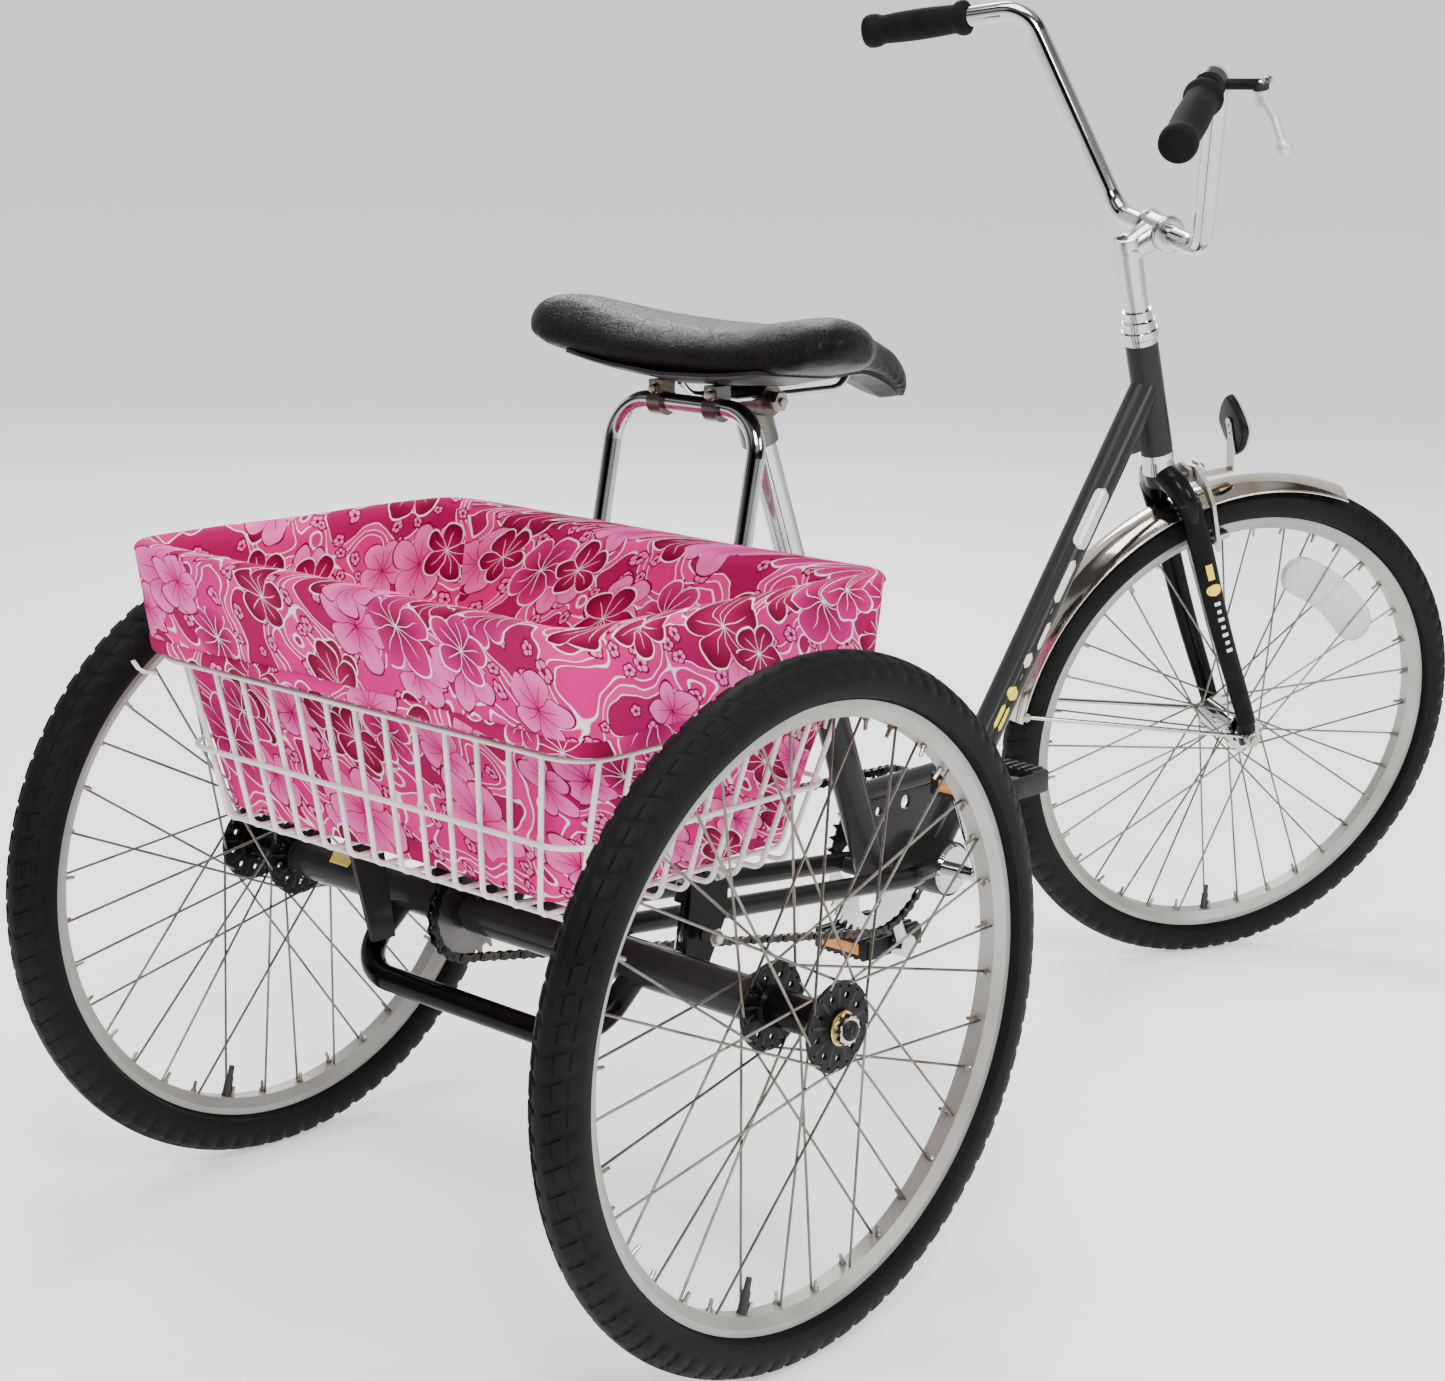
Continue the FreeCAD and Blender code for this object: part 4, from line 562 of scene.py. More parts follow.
black_enamel = enamel("black_enamel", (0.002, 0.002, 0.0025))
hub_enamel = enamel("hub_enamel", (0.003, 0.003, 0.0035), 0.20)
chrome = plating("chrome")
brass = plating("brass_washer", (0.60, 0.44, 0.17), 0.18, (0.40, 0.28, 0.12))
zinc = drawn_steel("zinc_plate", (0.42, 0.41, 0.39), (0.28, 0.24, 0.18))
dark_steel = drawn_steel("dark_steel", (0.10, 0.10, 0.105), (0.16, 0.13, 0.10), 0.9)


def drill(piece, tools):
    """Cuts tool solids out of a piece and removes them."""
    for tool in tools:
        hole = piece.modifiers.new("hole", "BOOLEAN")
        hole.operation = "DIFFERENCE"
        hole.solver = "EXACT"
        hole.object = tool
        settle(piece)
        bpy.data.objects.remove(tool)
    return sharpen(piece, 35)


low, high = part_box("right_hub")
rear_reach = (high.y - low.y) / 2
flange_r, flange_near, flange_far = 0.0380, 0.0330, 0.0365
for side in ("left", "right"):
    half_hub = [(rear_reach, 0.0085), (rear_reach, 0.0128), (flange_far + 0.0006, 0.0150),
                (flange_far, 0.0170), (flange_far, flange_r - 0.0006), (flange_far - 0.0006, flange_r),
                (flange_near + 0.0006, flange_r), (flange_near, flange_r - 0.0006), (flange_near, 0.0185),
                (flange_near - 0.003, 0.0160)]
    hub = lathe_piece(side + "_hub_shell", [(-along, radius) for along, radius in half_hub] + half_hub[::-1],
                      hub_enamel, 72, closed=True)
    cutters = []
    for flange in (-1, 1):
        for count, reach, size, turn in ((18, 0.0342, 0.0014, 0.0), (9, 0.0262, 0.0030, 0.35)):
            cutter = lathe_piece("cutter", [(-0.006, 0.0), (-0.006, size), (0.006, size), (0.006, 0.0)],
                                 hub_enamel, 10)
            cutter.data.transform(Matrix.Translation((0, flange * (flange_near + flange_far) / 2, reach)))
            grow(cutter, axle_ring, {"Count": count, "Start": turn, "Finish": hub_enamel})
            cutters.append(cutter)
    drill(hub, cutters)
    mount(hub, wheel_body[side], wheels[side], side + "_hub")
paint(chrome, "front_hub")
paint(zinc, "front_axle", "drive_axle", "stub_axle")

hub_face = rear_reach + 0.0002
for side, outward in (("left", 1), ("right", -1)):
    play = 0.0003 if side == "left" else 0.0
    for label, finish, outline, segments in (("brass_washer", brass,
                                              [(0.0, 0.0078), (0.0, 0.0142), (0.0006, 0.0146),
                                               (0.0019, 0.0146), (0.0025, 0.0140), (0.0025, 0.0078)], 40),
                                             ("axle_nut", chrome,
                                              [(0.0025, 0.0080), (0.0025, 0.0126), (0.0034, 0.0129),
                                               (0.0088, 0.0129), (0.0096, 0.0120), (0.0096, 0.0080)], 6),
                                             ("axle_cap", hub_enamel,
                                              [(0.0094, 0.0), (0.0094, 0.0086), (0.0112, 0.0084),
                                               (0.0134, 0.0066), (0.0145, 0.0040), (0.0147, 0.0)], 28)):
        ring = lathe_piece(side + "_" + label, [(outward * (hub_face + play + along), radius) for along,
                                                radius in outline], finish, segments,
                           closed=label != "axle_cap")
        mount(ring, "frame" if side == "left" else "drive", wheels[side])


# ---- Frame -------------------------------------------------------------------------------
# Welded steel tube and plate in gloss black enamel, the fork blades and basket brackets too.
# Bearings are pressed in the carrier, and plated cups in the head and the bottom bracket.
paint(black_enamel, "axle_carrier", "bracket_shell", "down_tube", "head_tube", "seat_tube", "seat_collar",
      "frame_braces", "gusset_plates", "chain_stays", "step_bar", "fork_blades", "basket_brackets")
paint(hub_enamel, "axle_bearings")
paint(chrome, "bracket_cups", "headset_cups", "headset_nuts")


# ---- Down tube panels --------------------------------------------------------------------
# Thin printed transfers on the down tube: a silver panel with plain pale bars near the top
# and a yellow dot over two short yellow bars near the bottom. They carry no lettering.
def film(name, base, roughness=0.3, metallic=0.0):
    material, tree, shader = new_finish(name, base, metallic=metallic, roughness=roughness)
    shader.inputs["Coat Weight"].default_value = 0.2
    worn = tuple(c * 0.72 for c in base)
    feed(tree, blend_colour(tree, between(tree, speckle(tree, 60.0, 5.0), 0.0, 1.0, 0.55, 0.8), base, worn),
         shader, "Base Color")
    feed(tree, between(tree, speckle(tree, 200.0), roughness * 0.8, roughness * 1.3), shader, "Roughness")
    return material


panel_cream = film("panel_cream", (0.70, 0.69, 0.62))
panel_yellow = film("panel_yellow", (0.84, 0.67, 0.006))
panel_silver = film("panel_silver", (0.62, 0.62, 0.60), 0.35, 0.3)


def tube_patch(name, start, end, radius, about, spans, material, body, corner=0.0):
    """A film wrapped on a tube: spans are (from, to, low angle, high angle) in metres and degrees."""
    way = (end - start).normalized()
    toward = (about - way * about.dot(way)).normalized()
    side = way.cross(toward)
    points, faces = [], []
    for begin, finish, low_turn, high_turn in spans:
        rows = max(2, int((finish - begin) / 0.004) + 1)
        columns = max(3, int((high_turn - low_turn) / 6) + 1)
        base = len(points)
        for row in range(rows):
            for column in range(columns):
                share_u = row / (rows - 1)
                share_v = column / (columns - 1)
                pull = 0.0
                edge = min(share_u, 1 - share_u) * (finish - begin)
                if corner > 0 and edge < corner:
                    pull = 1 - math.sqrt(max(0.0, 1 - ((corner - edge) / corner) ** 2))
                half = (high_turn - low_turn) / 2
                turn = math.radians((low_turn + high_turn) / 2 + half * (share_v * 2 - 1) * (1 - pull * 0.98))
                out = toward * math.cos(turn) + side * math.sin(turn)
                points.append(start + way * (begin + (finish - begin) * share_u) + out * (radius + 0.00025))
        faces += sheet_faces(rows, columns, base)
    piece = plain_piece(name, points, faces, material)
    thick = piece.modifiers.new("thickness", "SOLIDIFY")
    thick.thickness = 0.0002
    thick.offset = 1.0
    return mount(face_outwards(settle(piece), 0.00001), body)


bracket = Vector(joints["crank_spin"]["pos_m"])
wheel_spot = Vector(joints["front_wheel_spin"]["pos_m"])
fork_rake = 0.044
steer_foot = wheel_spot - steer_fore * fork_rake
steer_left = Vector(joints["front_wheel_spin"]["axis"]).normalized()
steer = axes_at(steer_fore, steer_left, steer_up, steer_foot)
tube_top = steer_foot + steer_up * 0.452
right_side = Vector((0, -1, 0))
tube_patch("down_tube_panel", bracket, tube_top, 0.017, right_side, [(0.385, 0.462, -62, 4)], panel_silver,
           "frame", 0.010)
tube_patch("down_tube_bars", bracket, tube_top, 0.017, right_side,
           [(0.318, 0.372, -34, -6), (0.304, 0.311, -40, 0), (0.262, 0.297, -14, 8), (0.236, 0.255, -36, -8),
            (0.222, 0.229, -40, 2)], panel_cream, "frame", 0.006)
tube_patch("down_tube_dot", bracket, tube_top, 0.017, right_side, [(0.196, 0.213, -46, 0)], panel_yellow,
           "frame", 0.008)
tube_patch("down_tube_dashes", bracket, tube_top, 0.017, right_side,
           [(0.160, 0.190, -40, -26), (0.160, 0.190, -18, -4)], panel_yellow, "frame", 0.002)


# ---- Fork transfers ----------------------------------------------------------------------
# A yellow dot and a column of short pale bars on the outer face of the right fork blade, as
# thin printed films without lettering.
blade_stations = ((0.318, 0.008, 0.014, 0.009), (0.240, 0.018, 0.014, 0.009), (0.172, 0.0245, 0.013, 0.0086),
                  (0.075, 0.037, 0.012, 0.0076))


def blade_spot(height, turn):
    """A point just off the right blade's skin; turn 0 is its outer face."""
    for upper, lower in zip(blade_stations, blade_stations[1:]):
        if height >= lower[0]:
            break
    share = (upper[0] - height) / (upper[0] - lower[0])
    ahead, depth, width = (a + (b - a) * share for a, b in zip(upper[1:], lower[1:]))
    return steer @ Vector((ahead - (depth + 0.0006) * math.sin(turn),
                           -0.043 - (width + 0.0006) * math.cos(turn), height))


def blade_film(name, low, high, half_turn, material):
    """A film on the blade between two heights; a dot is rounded."""
    points = []
    for row in range(9):
        share = row / 8
        pull = math.sqrt(max(0.0, 1 - (2 * share - 1) ** 2)) if "dot" in name else 1.0
        points += [blade_spot(low + (high - low) * share, half_turn * pull * (column / 3 - 1))
                   for column in range(7)]
    mount(face_outwards(plain_piece(name, points, sheet_faces(9, 7), material), 0.00001), "steering")


blade_film("fork_dot", 0.197, 0.212, 0.70, panel_yellow)
blade_film("fork_dash", 0.218, 0.238, 0.30, panel_yellow)
for number in range(7):
    blade_film("fork_bar_%d" % number, 0.184 - number * 0.0105, 0.1885 - number * 0.0105,
               0.20 if number % 2 else 0.28, panel_cream)


# ---- Fork crown --------------------------------------------------------------------------
# The blades bend in at the top and meet under the head in one smooth pressed and brazed
# shoulder, with the steerer standing on it.
def aim(spot, way, about=0.0):
    """A placement that carries the Y axis to a direction, for turned pieces."""
    way = way.normalized()
    lean = Vector((0, 1, 0)).rotation_difference(way).to_matrix().to_4x4()
    return Matrix.Translation(spot) @ lean @ Matrix.Rotation(about, 4, "Y")


def tube_faces(rows, count):
    """Quads between rings of points."""
    return [(row * count + n, row * count + (n + 1) % count, (row + 1) * count + (n + 1) % count,
             (row + 1) * count + n) for row in range(rows - 1) for n in range(count)]


def sweep_piece(name, path, radius, material, segments=12, squash=1.0):
    """A round bar along points, closed at both ends; radius may be a list."""
    points = []
    reach = radius if isinstance(radius, (list, tuple)) else [radius] * len(path)
    up = Vector((0.13, 0.21, 0.97))
    for number, spot in enumerate(path):
        before, after = path[max(number - 1, 0)], path[min(number + 1, len(path) - 1)]
        way = (after - before).normalized()
        side = way.cross(up).normalized()
        up = side.cross(way).normalized()
        for turn in range(segments):
            angle = 2 * math.pi * turn / segments
            points.append(spot + side * math.cos(angle) * reach[number] + up * math.sin(angle) * reach[number]
                          * squash)
    faces = tube_faces(len(path), segments)
    faces += [tuple(range(segments)), tuple(range((len(path) - 1) * segments, len(path) * segments))]
    return sharpen(face_outwards(plain_piece(name, points, faces, material)), 50)


shoulders = []
for side in (1, -1):
    bend = [Vector(spot) for spot in ((0.0112, side * 0.0430, 0.288), (0.0098, side * 0.0428, 0.300),
                                      (0.0084, side * 0.0415, 0.311), (0.0067, side * 0.0370, 0.3225),
                                      (0.0044, side * 0.0285, 0.333), (0.0022, side * 0.0180, 0.340),
                                      (0.0008, side * 0.0070, 0.343), (0.0, -side * 0.0020, 0.343))]
    shoulders.append(sweep_piece("shoulder", bend, [0.0084, 0.0104, 0.0124, 0.0136, 0.0143, 0.0148, 0.0150,
                                                    0.0150], black_enamel, 32))
post = lathe_piece("post", [(0.330, 0.0), (0.330, 0.0165), (0.3455, 0.0178), (0.3460, 0.0127),
                            (0.5395, 0.0127), (0.5400, 0.0120), (0.5400, 0.0)], black_enamel, 40)
post.data.transform(aim(Vector((0, 0, 0)), Vector((0, 0, 1))))
mount(join_pieces([post, *shoulders], "fork_shoulders"), "steering", steer, "fork_crown")


# ---- Stem, handlebar and grips -----------------------------------------------------------
# A polished alloy stem clamps a chromed steel bar. A collar ring, a domed bolt and a dark disc in a
# raised ring, painted shade standing for a hole in the neck, finish the clamp. The grips are black
# foam, waisted inside a soft roll at each end.
stem_alloy = plating("stem_alloy", (0.50, 0.50, 0.49), 0.15, (0.38, 0.37, 0.355))
paint(stem_alloy, "stem")
paint(chrome, "stem_bolts", "handlebar")
clamp_spot = Vector((0.040, 0.0, 0.619))


def hand(side):
    """The rider's side that +1 or -1 stands for."""
    return "left" if side > 0 else "right"


for side in (-1, 1):
    cheek = lathe_piece("stem_cheek_" + hand(side), [(0.0, 0.0112), (0.0, 0.0196), (0.0022, 0.0203),
                                                     (0.0056, 0.0198), (0.0074, 0.0182), (0.0078, 0.0160),
                                                     (0.0078, 0.0112)], stem_alloy, 48, closed=True)
    mount(cheek, "steering", steer @ aim(clamp_spot + Vector((0, side * 0.0155, 0)),
                                                       Vector((0, side, 0))))
neck = lathe_piece("stem_neck", [(0.0, 0.0112), (0.0, 0.0133), (0.004, 0.0137), (0.030, 0.0139),
                                 (0.066, 0.0146), (0.078, 0.0152), (0.084, 0.0146), (0.084, 0.0112)],
                   stem_alloy, 40, closed=True)
mount(neck, "steering", steer @ aim(Vector((0, 0, 0.5395)), Vector((0, 0, 1))))
ball = lathe_piece("stem_elbow", [(-0.0160, 0.0)] + [(0.0160 * math.sin(math.radians(turn)),
                                                      0.0160 * math.cos(math.radians(turn)))
                                                     for turn in range(-75, 76, 15)] + [(0.0160, 0.0)],
                   stem_alloy, 36)
mount(ball, "steering", steer @ aim(Vector((0.0015, 0, 0.6080)), Vector((0.55, 0, 1))))
bridge = sweep_piece("stem_bridge", [Vector((0.002 + 0.030 * t, 0, 0.610 + 0.007 * t))
                                     for t in (0.0, 0.3, 0.6, 0.85)], [0.0152, 0.0162, 0.0178, 0.0186],
                     stem_alloy, 28)
mount(bridge, "steering", steer)
# A raised ring round a dark steel disc: the disc's darkness is painted shade for the hole in the neck.
hole_shade_disc = lathe_piece("stem_recess", [(-0.002, 0.0), (-0.002, 0.0072), (0.0004, 0.0078), (0.0010, 0.0070),
                                     (0.0002, 0.0058), (0.0002, 0.0)], dark_steel, 28)
mount(hole_shade_disc, "steering", steer @ aim(Vector((-0.0075, 0, 0.6215)), Vector((-0.50, 0, 0.86))))
locknut = lathe_piece("headset_locknut", [(0.0, 0.0128), (0.0, 0.0198), (0.0010, 0.0206), (0.0080, 0.0206),
                                          (0.0090, 0.0198), (0.0090, 0.0180), (0.0190, 0.0172),
                                          (0.0230, 0.0150), (0.0230, 0.0128)], chrome, 48, closed=True)
mount(locknut, "steering", steer @ aim(Vector((0, 0, 0.5085)), Vector((0, 0, 1))))

grip_foam, tree, shader = new_finish("grip_foam", (0.003, 0.003, 0.0035), roughness=0.82)
shader.inputs["Specular IOR Level"].default_value = 0.15
skin = speckle(tree, 1400.0, 3.0)
feed(tree, blend_colour(tree, between(tree, speckle(tree, 35.0, 4.0), 0.0, 1.0, 0.4, 0.8),
                        (0.002, 0.002, 0.0025), (0.007, 0.007, 0.0065)), shader, "Base Color")
feed(tree, between(tree, skin, 0.70, 0.92), shader, "Roughness")
roughen(tree, shader, skin, 0.5, 0.0005)
grip_solids = []
grip_outline = [(0.0, 0.0112), (0.0, 0.0170), (0.0016, 0.0190), (0.0050, 0.0199), (0.0090, 0.0197),
                (0.0122, 0.0184), (0.0146, 0.0166), (0.0200, 0.0163), (0.0400, 0.0172), (0.0620, 0.0177),
                (0.0840, 0.0173), (0.1030, 0.0163), (0.1070, 0.0165), (0.1100, 0.0178), (0.1140, 0.0189),
                (0.1190, 0.0192), (0.1240, 0.0186), (0.1268, 0.0168), (0.1279, 0.0125), (0.1281, 0.0)]
corner = Vector((0.022, 0.206, 0.839))
for side in (1, -1):
    way = Vector((-0.085, 0.092 * side, -0.007)).normalized()
    start = Vector((corner.x, corner.y * side, corner.z)) + way * 0.072
    grip = lathe_piece("grip_seed", grip_outline, grip_foam, 40)
    grip.data.transform(steer @ aim(start, way))
    grip_solids.append(grip)
mount(join_pieces(grip_solids, "foam_grips"), "steering", stands_for="grips")


# ---- Hand brake --------------------------------------------------------------------------
# A black cast perch round the bar holds a bare alloy lever with a ball end. At the wheel two
# plated arms on one bolt carry rubber blocks in folded shoes.
lever_alloy = turned_alloy("lever_alloy", Matrix.Identity(4), (0.55, 0.55, 0.55), (0.65, 0.65, 0.65))
perch_black = enamel("perch_black", (0.003, 0.003, 0.0035), 0.28)
pad_rubber, tree, shader = new_finish("pad_rubber", (0.004, 0.004, 0.0045), roughness=0.7)
feed(tree, between(tree, speckle(tree, 700.0), 0.55, 0.85), shader, "Roughness")
paint(perch_black, "lever_perch")
paint(lever_alloy, "brake_lever")
paint(zinc, "left_caliper_arm", "right_caliper_arm")
paint(pad_rubber, "left_brake_pad", "right_brake_pad")
lever_foot = Vector((0.037, -0.255, 0.814))
pin_head = lathe_piece("lever_pin", [(0.0, 0.0), (0.0, 0.0050), (0.0022, 0.0050), (0.0034, 0.0034),
                                     (0.0036, 0.0)], chrome, 20)
mount(pin_head, "steering", steer @ aim(lever_foot + Vector((0, 0, 0.0146)), Vector((0, 0, 1))))
adjuster = lathe_piece("cable_adjuster", [(0.0, 0.0), (0.0, 0.0030), (0.008, 0.0030), (0.008, 0.0046),
                                          (0.0155, 0.0046), (0.0160, 0.0036), (0.0160, 0.0)], chrome, 18)
mount(adjuster, "steering", steer @ aim(lever_foot + Vector((0.004, 0.004, 0.010)),
                                                  Vector((0.8, 0.55, 0.05))))
for side, near in ((1, 0.032), (-1, 0.0375)):
    shoe = [Vector((near - 0.0205 + step * 0.0455, side * 0.0247, 0.252))
            for step in (0.0, 0.02, 0.5, 0.98, 1.0)]
    holder = sweep_piece("brake_shoe_" + hand(side), shoe, [0.0030, 0.0042, 0.0044, 0.0042, 0.0030], zinc, 12)
    mount(holder, hand(side) + "_caliper", steer)
caliper_nut = lathe_piece("caliper_nut", [(0.0, 0.0031), (0.0, 0.0066), (0.0006, 0.0070), (0.0050, 0.0070),
                                          (0.0056, 0.0066), (0.0056, 0.0031)], zinc, 6, closed=True)
mount(caliper_nut, "steering", steer @ aim(Vector((0.0486, 0, 0.330)), Vector((1, 0, 0))))


# ---- Front fender ------------------------------------------------------------------------
# A short arched fender of chromed steel strip, its long edges rolled round a wire, held by two
# plated stays. Its chrome is painted warm with brown patches all over, a painted reflection of the brown its
# crown mirrors.
fender_chrome_painted_reflection = plating("fender_chrome_painted_reflection", (0.56, 0.52, 0.46), 0.06, (0.42, 0.26, 0.13))
paint(fender_chrome_painted_reflection, "fender")
paint(chrome, "fender_stays")
bead_reach = 0.2962
for side in (1, -1):
    edge = [Vector((fork_rake + bead_reach * math.cos(math.radians(turn)), side * 0.0288,
                    bead_reach * math.sin(math.radians(turn)))) for turn in range(54, 158, 2)]
    bead = sweep_piece("fender_bead_" + hand(side), edge, 0.0014, fender_chrome_painted_reflection, 10)
    mount(bead, "steering", steer)
    rear = math.radians(155)
    rivet_spot = Vector((fork_rake + 0.296 * math.cos(rear), side * 0.0350, 0.296 * math.sin(rear)))
    rivet = lathe_piece("stay_rivet_" + hand(side), [(-0.006, 0.0), (-0.006, 0.0030), (-0.001, 0.0030),
                                                     (-0.001, 0.0052), (0.0006, 0.0050), (0.0018, 0.0030),
                                                     (0.0021, 0.0)], zinc, 18)
    mount(rivet, "steering", steer @ aim(rivet_spot, Vector((0, side, 0))))


# ---- Front reflector ---------------------------------------------------------------------
# A clear moulded lens with small facets in a black shell, on a zinc strap pierced with
# adjusting holes and bolted at the fork crown.
def slab_piece(name, outline, near, far, material, bevel, rings=2):
    """A flat moulding in the x, z plane with rounded edges, thick along y."""
    shape = bmesh.new()
    corners = [shape.verts.new((x, near, z)) for x, z in outline]
    face = shape.faces.new(corners)
    made = bmesh.ops.extrude_face_region(shape, geom=[face])
    bmesh.ops.translate(shape, vec=(0, far - near, 0), verts=[item for item in made["geom"]
                                                              if isinstance(item, bmesh.types.BMVert)])
    bmesh.ops.recalc_face_normals(shape, faces=shape.faces)
    rim = [edge for edge in shape.edges if abs(edge.verts[0].co.y - edge.verts[1].co.y) < 1e-7]
    bmesh.ops.bevel(shape, geom=rim, offset=bevel, segments=rings, profile=0.5, affect="EDGES",
                    clamp_overlap=True)
    mesh = bpy.data.meshes.new(name)
    shape.to_mesh(mesh)
    shape.free()
    mesh.materials.append(material)
    piece = bpy.data.objects.new(name, mesh)
    scene.collection.objects.link(piece)
    return sharpen(piece, 40)


clear_lens, tree, shader = new_finish("clear_lens", (0.80, 0.81, 0.80), roughness=0.12)
shader.inputs["Transmission Weight"].default_value = 0.55
facet = add_node(tree, "ShaderNodeTexVoronoi", feature="F1")
facet.inputs["Scale"].default_value = 420.0
facet.inputs["Randomness"].default_value = 0.0
place = add_node(tree, "ShaderNodeTexCoord")
feed(tree, place.outputs["Object"], facet, "Vector")
roughen(tree, shader, facet.outputs["Distance"], 0.7, 0.0012)
feed(tree, blend_colour(tree, facet.outputs["Distance"], (0.88, 0.89, 0.88), (0.62, 0.64, 0.64)), shader,
     "Base Color")
shell_black = enamel("shell_black", (0.003, 0.003, 0.0035), 0.26)
shield = []
for turn in range(0, 360, 9):
    angle = math.radians(turn)
    side, up = math.cos(angle), math.sin(angle)
    reach = (abs(side / 0.0270) ** 1.35 + abs(up / 0.0370) ** 1.35) ** (-1 / 1.35)
    shield.append((side * reach, up * reach))
# Mouldings are drawn in the x, z plane; this turns their face to look along x.
face_ahead = Matrix(((0, 1, 0, 0), (1, 0, 0, 0), (0, 0, 1, 0), (0, 0, 0, 1)))
shell = slab_piece("reflector_shell", shield, -0.0060, 0.0030, shell_black, 0.0022, 3)
shell.data.transform(face_ahead)
face_outwards(shell)
lens_place = steer @ Matrix.Translation((0.1015, 0, 0.368))
mount(shell, "steering", lens_place, "reflector")
lens = slab_piece("reflector_lens", [(x * 0.93, z * 0.94) for x, z in shield], 0.0030, 0.0062, clear_lens,
                  0.0010)
lens.data.transform(face_ahead)
face_outwards(lens)
mount(lens, "steering", lens_place)
paint(zinc, "reflector_arm")
strap = slab_piece("reflector_strap", [(-0.0055, -0.030), (0.0055, -0.030), (0.0055, 0.008), (0.0030, 0.0125),
                                       (-0.0030, 0.0125), (-0.0055, 0.008)], -0.0010, 0.0010, zinc, 0.0004)
holes = []
for number in range(4):
    hole = lathe_piece("hole", [(-0.004, 0.0), (-0.004, 0.0016), (0.004, 0.0016), (0.004, 0.0)], zinc, 12)
    hole.data.transform(Matrix.Translation((0, 0, -0.024 + number * 0.009)))
    holes.append(hole)
drill(strap, holes)
strap.data.transform(face_ahead)
face_outwards(strap, 0.000001)
mount(strap, "steering", steer @ Matrix.Translation((0.0942, 0, 0.366)))
rivet = lathe_piece("reflector_rivet", [(0.0, 0.0), (0.0, 0.0040), (0.0016, 0.0034), (0.0022, 0.0)], zinc, 20)
mount(rivet, "steering", steer @ aim(Vector((0.0932, 0, 0.374)), Vector((-1, 0, 0))))


def on_circle(reach, degrees, centre=(0.0, 0.0)):
    """A point on a circle."""
    turn = math.radians(degrees)
    return centre[0] + reach * math.cos(turn), centre[1] + reach * math.sin(turn)


# The spoke reflector is a bent bar with round ends, between two circles about the axle.
kidney_low, kidney_high = 21, 53
kidney_middle, kidney_end = 0.1925, 0.0235
kidney = [on_circle(0.216, turn) for turn in range(kidney_low, kidney_high + 1, 2)]
kidney += [on_circle(kidney_end, kidney_high + turn, on_circle(kidney_middle, kidney_high))
           for turn in range(0, 181, 30)]
kidney += [on_circle(0.169, turn) for turn in range(kidney_high, kidney_low - 1, -2)]
kidney += [on_circle(kidney_end, kidney_low + 180 + turn, on_circle(kidney_middle, kidney_low))
           for turn in range(0, 181, 30)]
tidy_kidney = []
for spot in kidney:
    if not tidy_kidney or (Vector(spot) - Vector(tidy_kidney[-1])).length > 0.0008:
        tidy_kidney.append(spot)
if (Vector(tidy_kidney[0]) - Vector(tidy_kidney[-1])).length < 0.0008:
    tidy_kidney.pop()
spoke_lens = slab_piece("spoke_reflector", tidy_kidney, -0.0060, 0.0045, clear_lens, 0.0016, 2)
mount(spoke_lens, "front_wheel", wheels["front"])


# ---- Chain drive -------------------------------------------------------------------------
# Chromed one-piece crank and chainring, black roller chain with waisted plates on pins, and a
# dark sprocket on the driven axle. Links are alternately inner and outer, one every pitch.
chain_black = drawn_steel("chain_black", (0.018, 0.018, 0.019), (0.045, 0.036, 0.028), 0.9)
paint(chrome, "crank", "chainring")
paint(dark_steel, "rear_sprocket")
rear_x = wheels["right"].translation.x
chain_line = 0.060
chain_pitch = 0.0127
sprocket_teeth, ring_teeth = 22, 44
sprocket_spot = Vector((rear_x, chain_line, wheels["right"].translation.z))
ring_spot = Vector((bracket.x, chain_line, bracket.z))
small = chain_pitch / 2 / math.sin(math.pi / sprocket_teeth)
large = chain_pitch / 2 / math.sin(math.pi / ring_teeth)
run = ring_spot - sprocket_spot
ahead = run.normalized()
above = Vector((-ahead.z, 0, ahead.x))
sine = (large - small) / run.length
cosine = math.sqrt(1 - sine * sine)
# The two straight runs touch both wheels' pitch circles at the same headings.
touch_up = above * cosine - ahead * sine
touch_low = above * -cosine - ahead * sine
heading_up = math.atan2(touch_up.z, touch_up.x)
heading_low = math.atan2(touch_low.z, touch_low.x)
path = []
for centre, reach, start, sweep, steps in (
        (ring_spot, large, heading_up, heading_low - heading_up, 60),
        (sprocket_spot, small, heading_low, heading_up - heading_low - 2 * math.pi, 40)):
    for step in range(steps + 1):
        turn = start + sweep * step / steps
        path.append(centre + Vector((math.cos(turn), 0, math.sin(turn))) * reach)
length = sum((b - a).length for a, b in zip(path, path[1:] + path[:1]))
link_count = 2 * round(length / chain_pitch / 2)


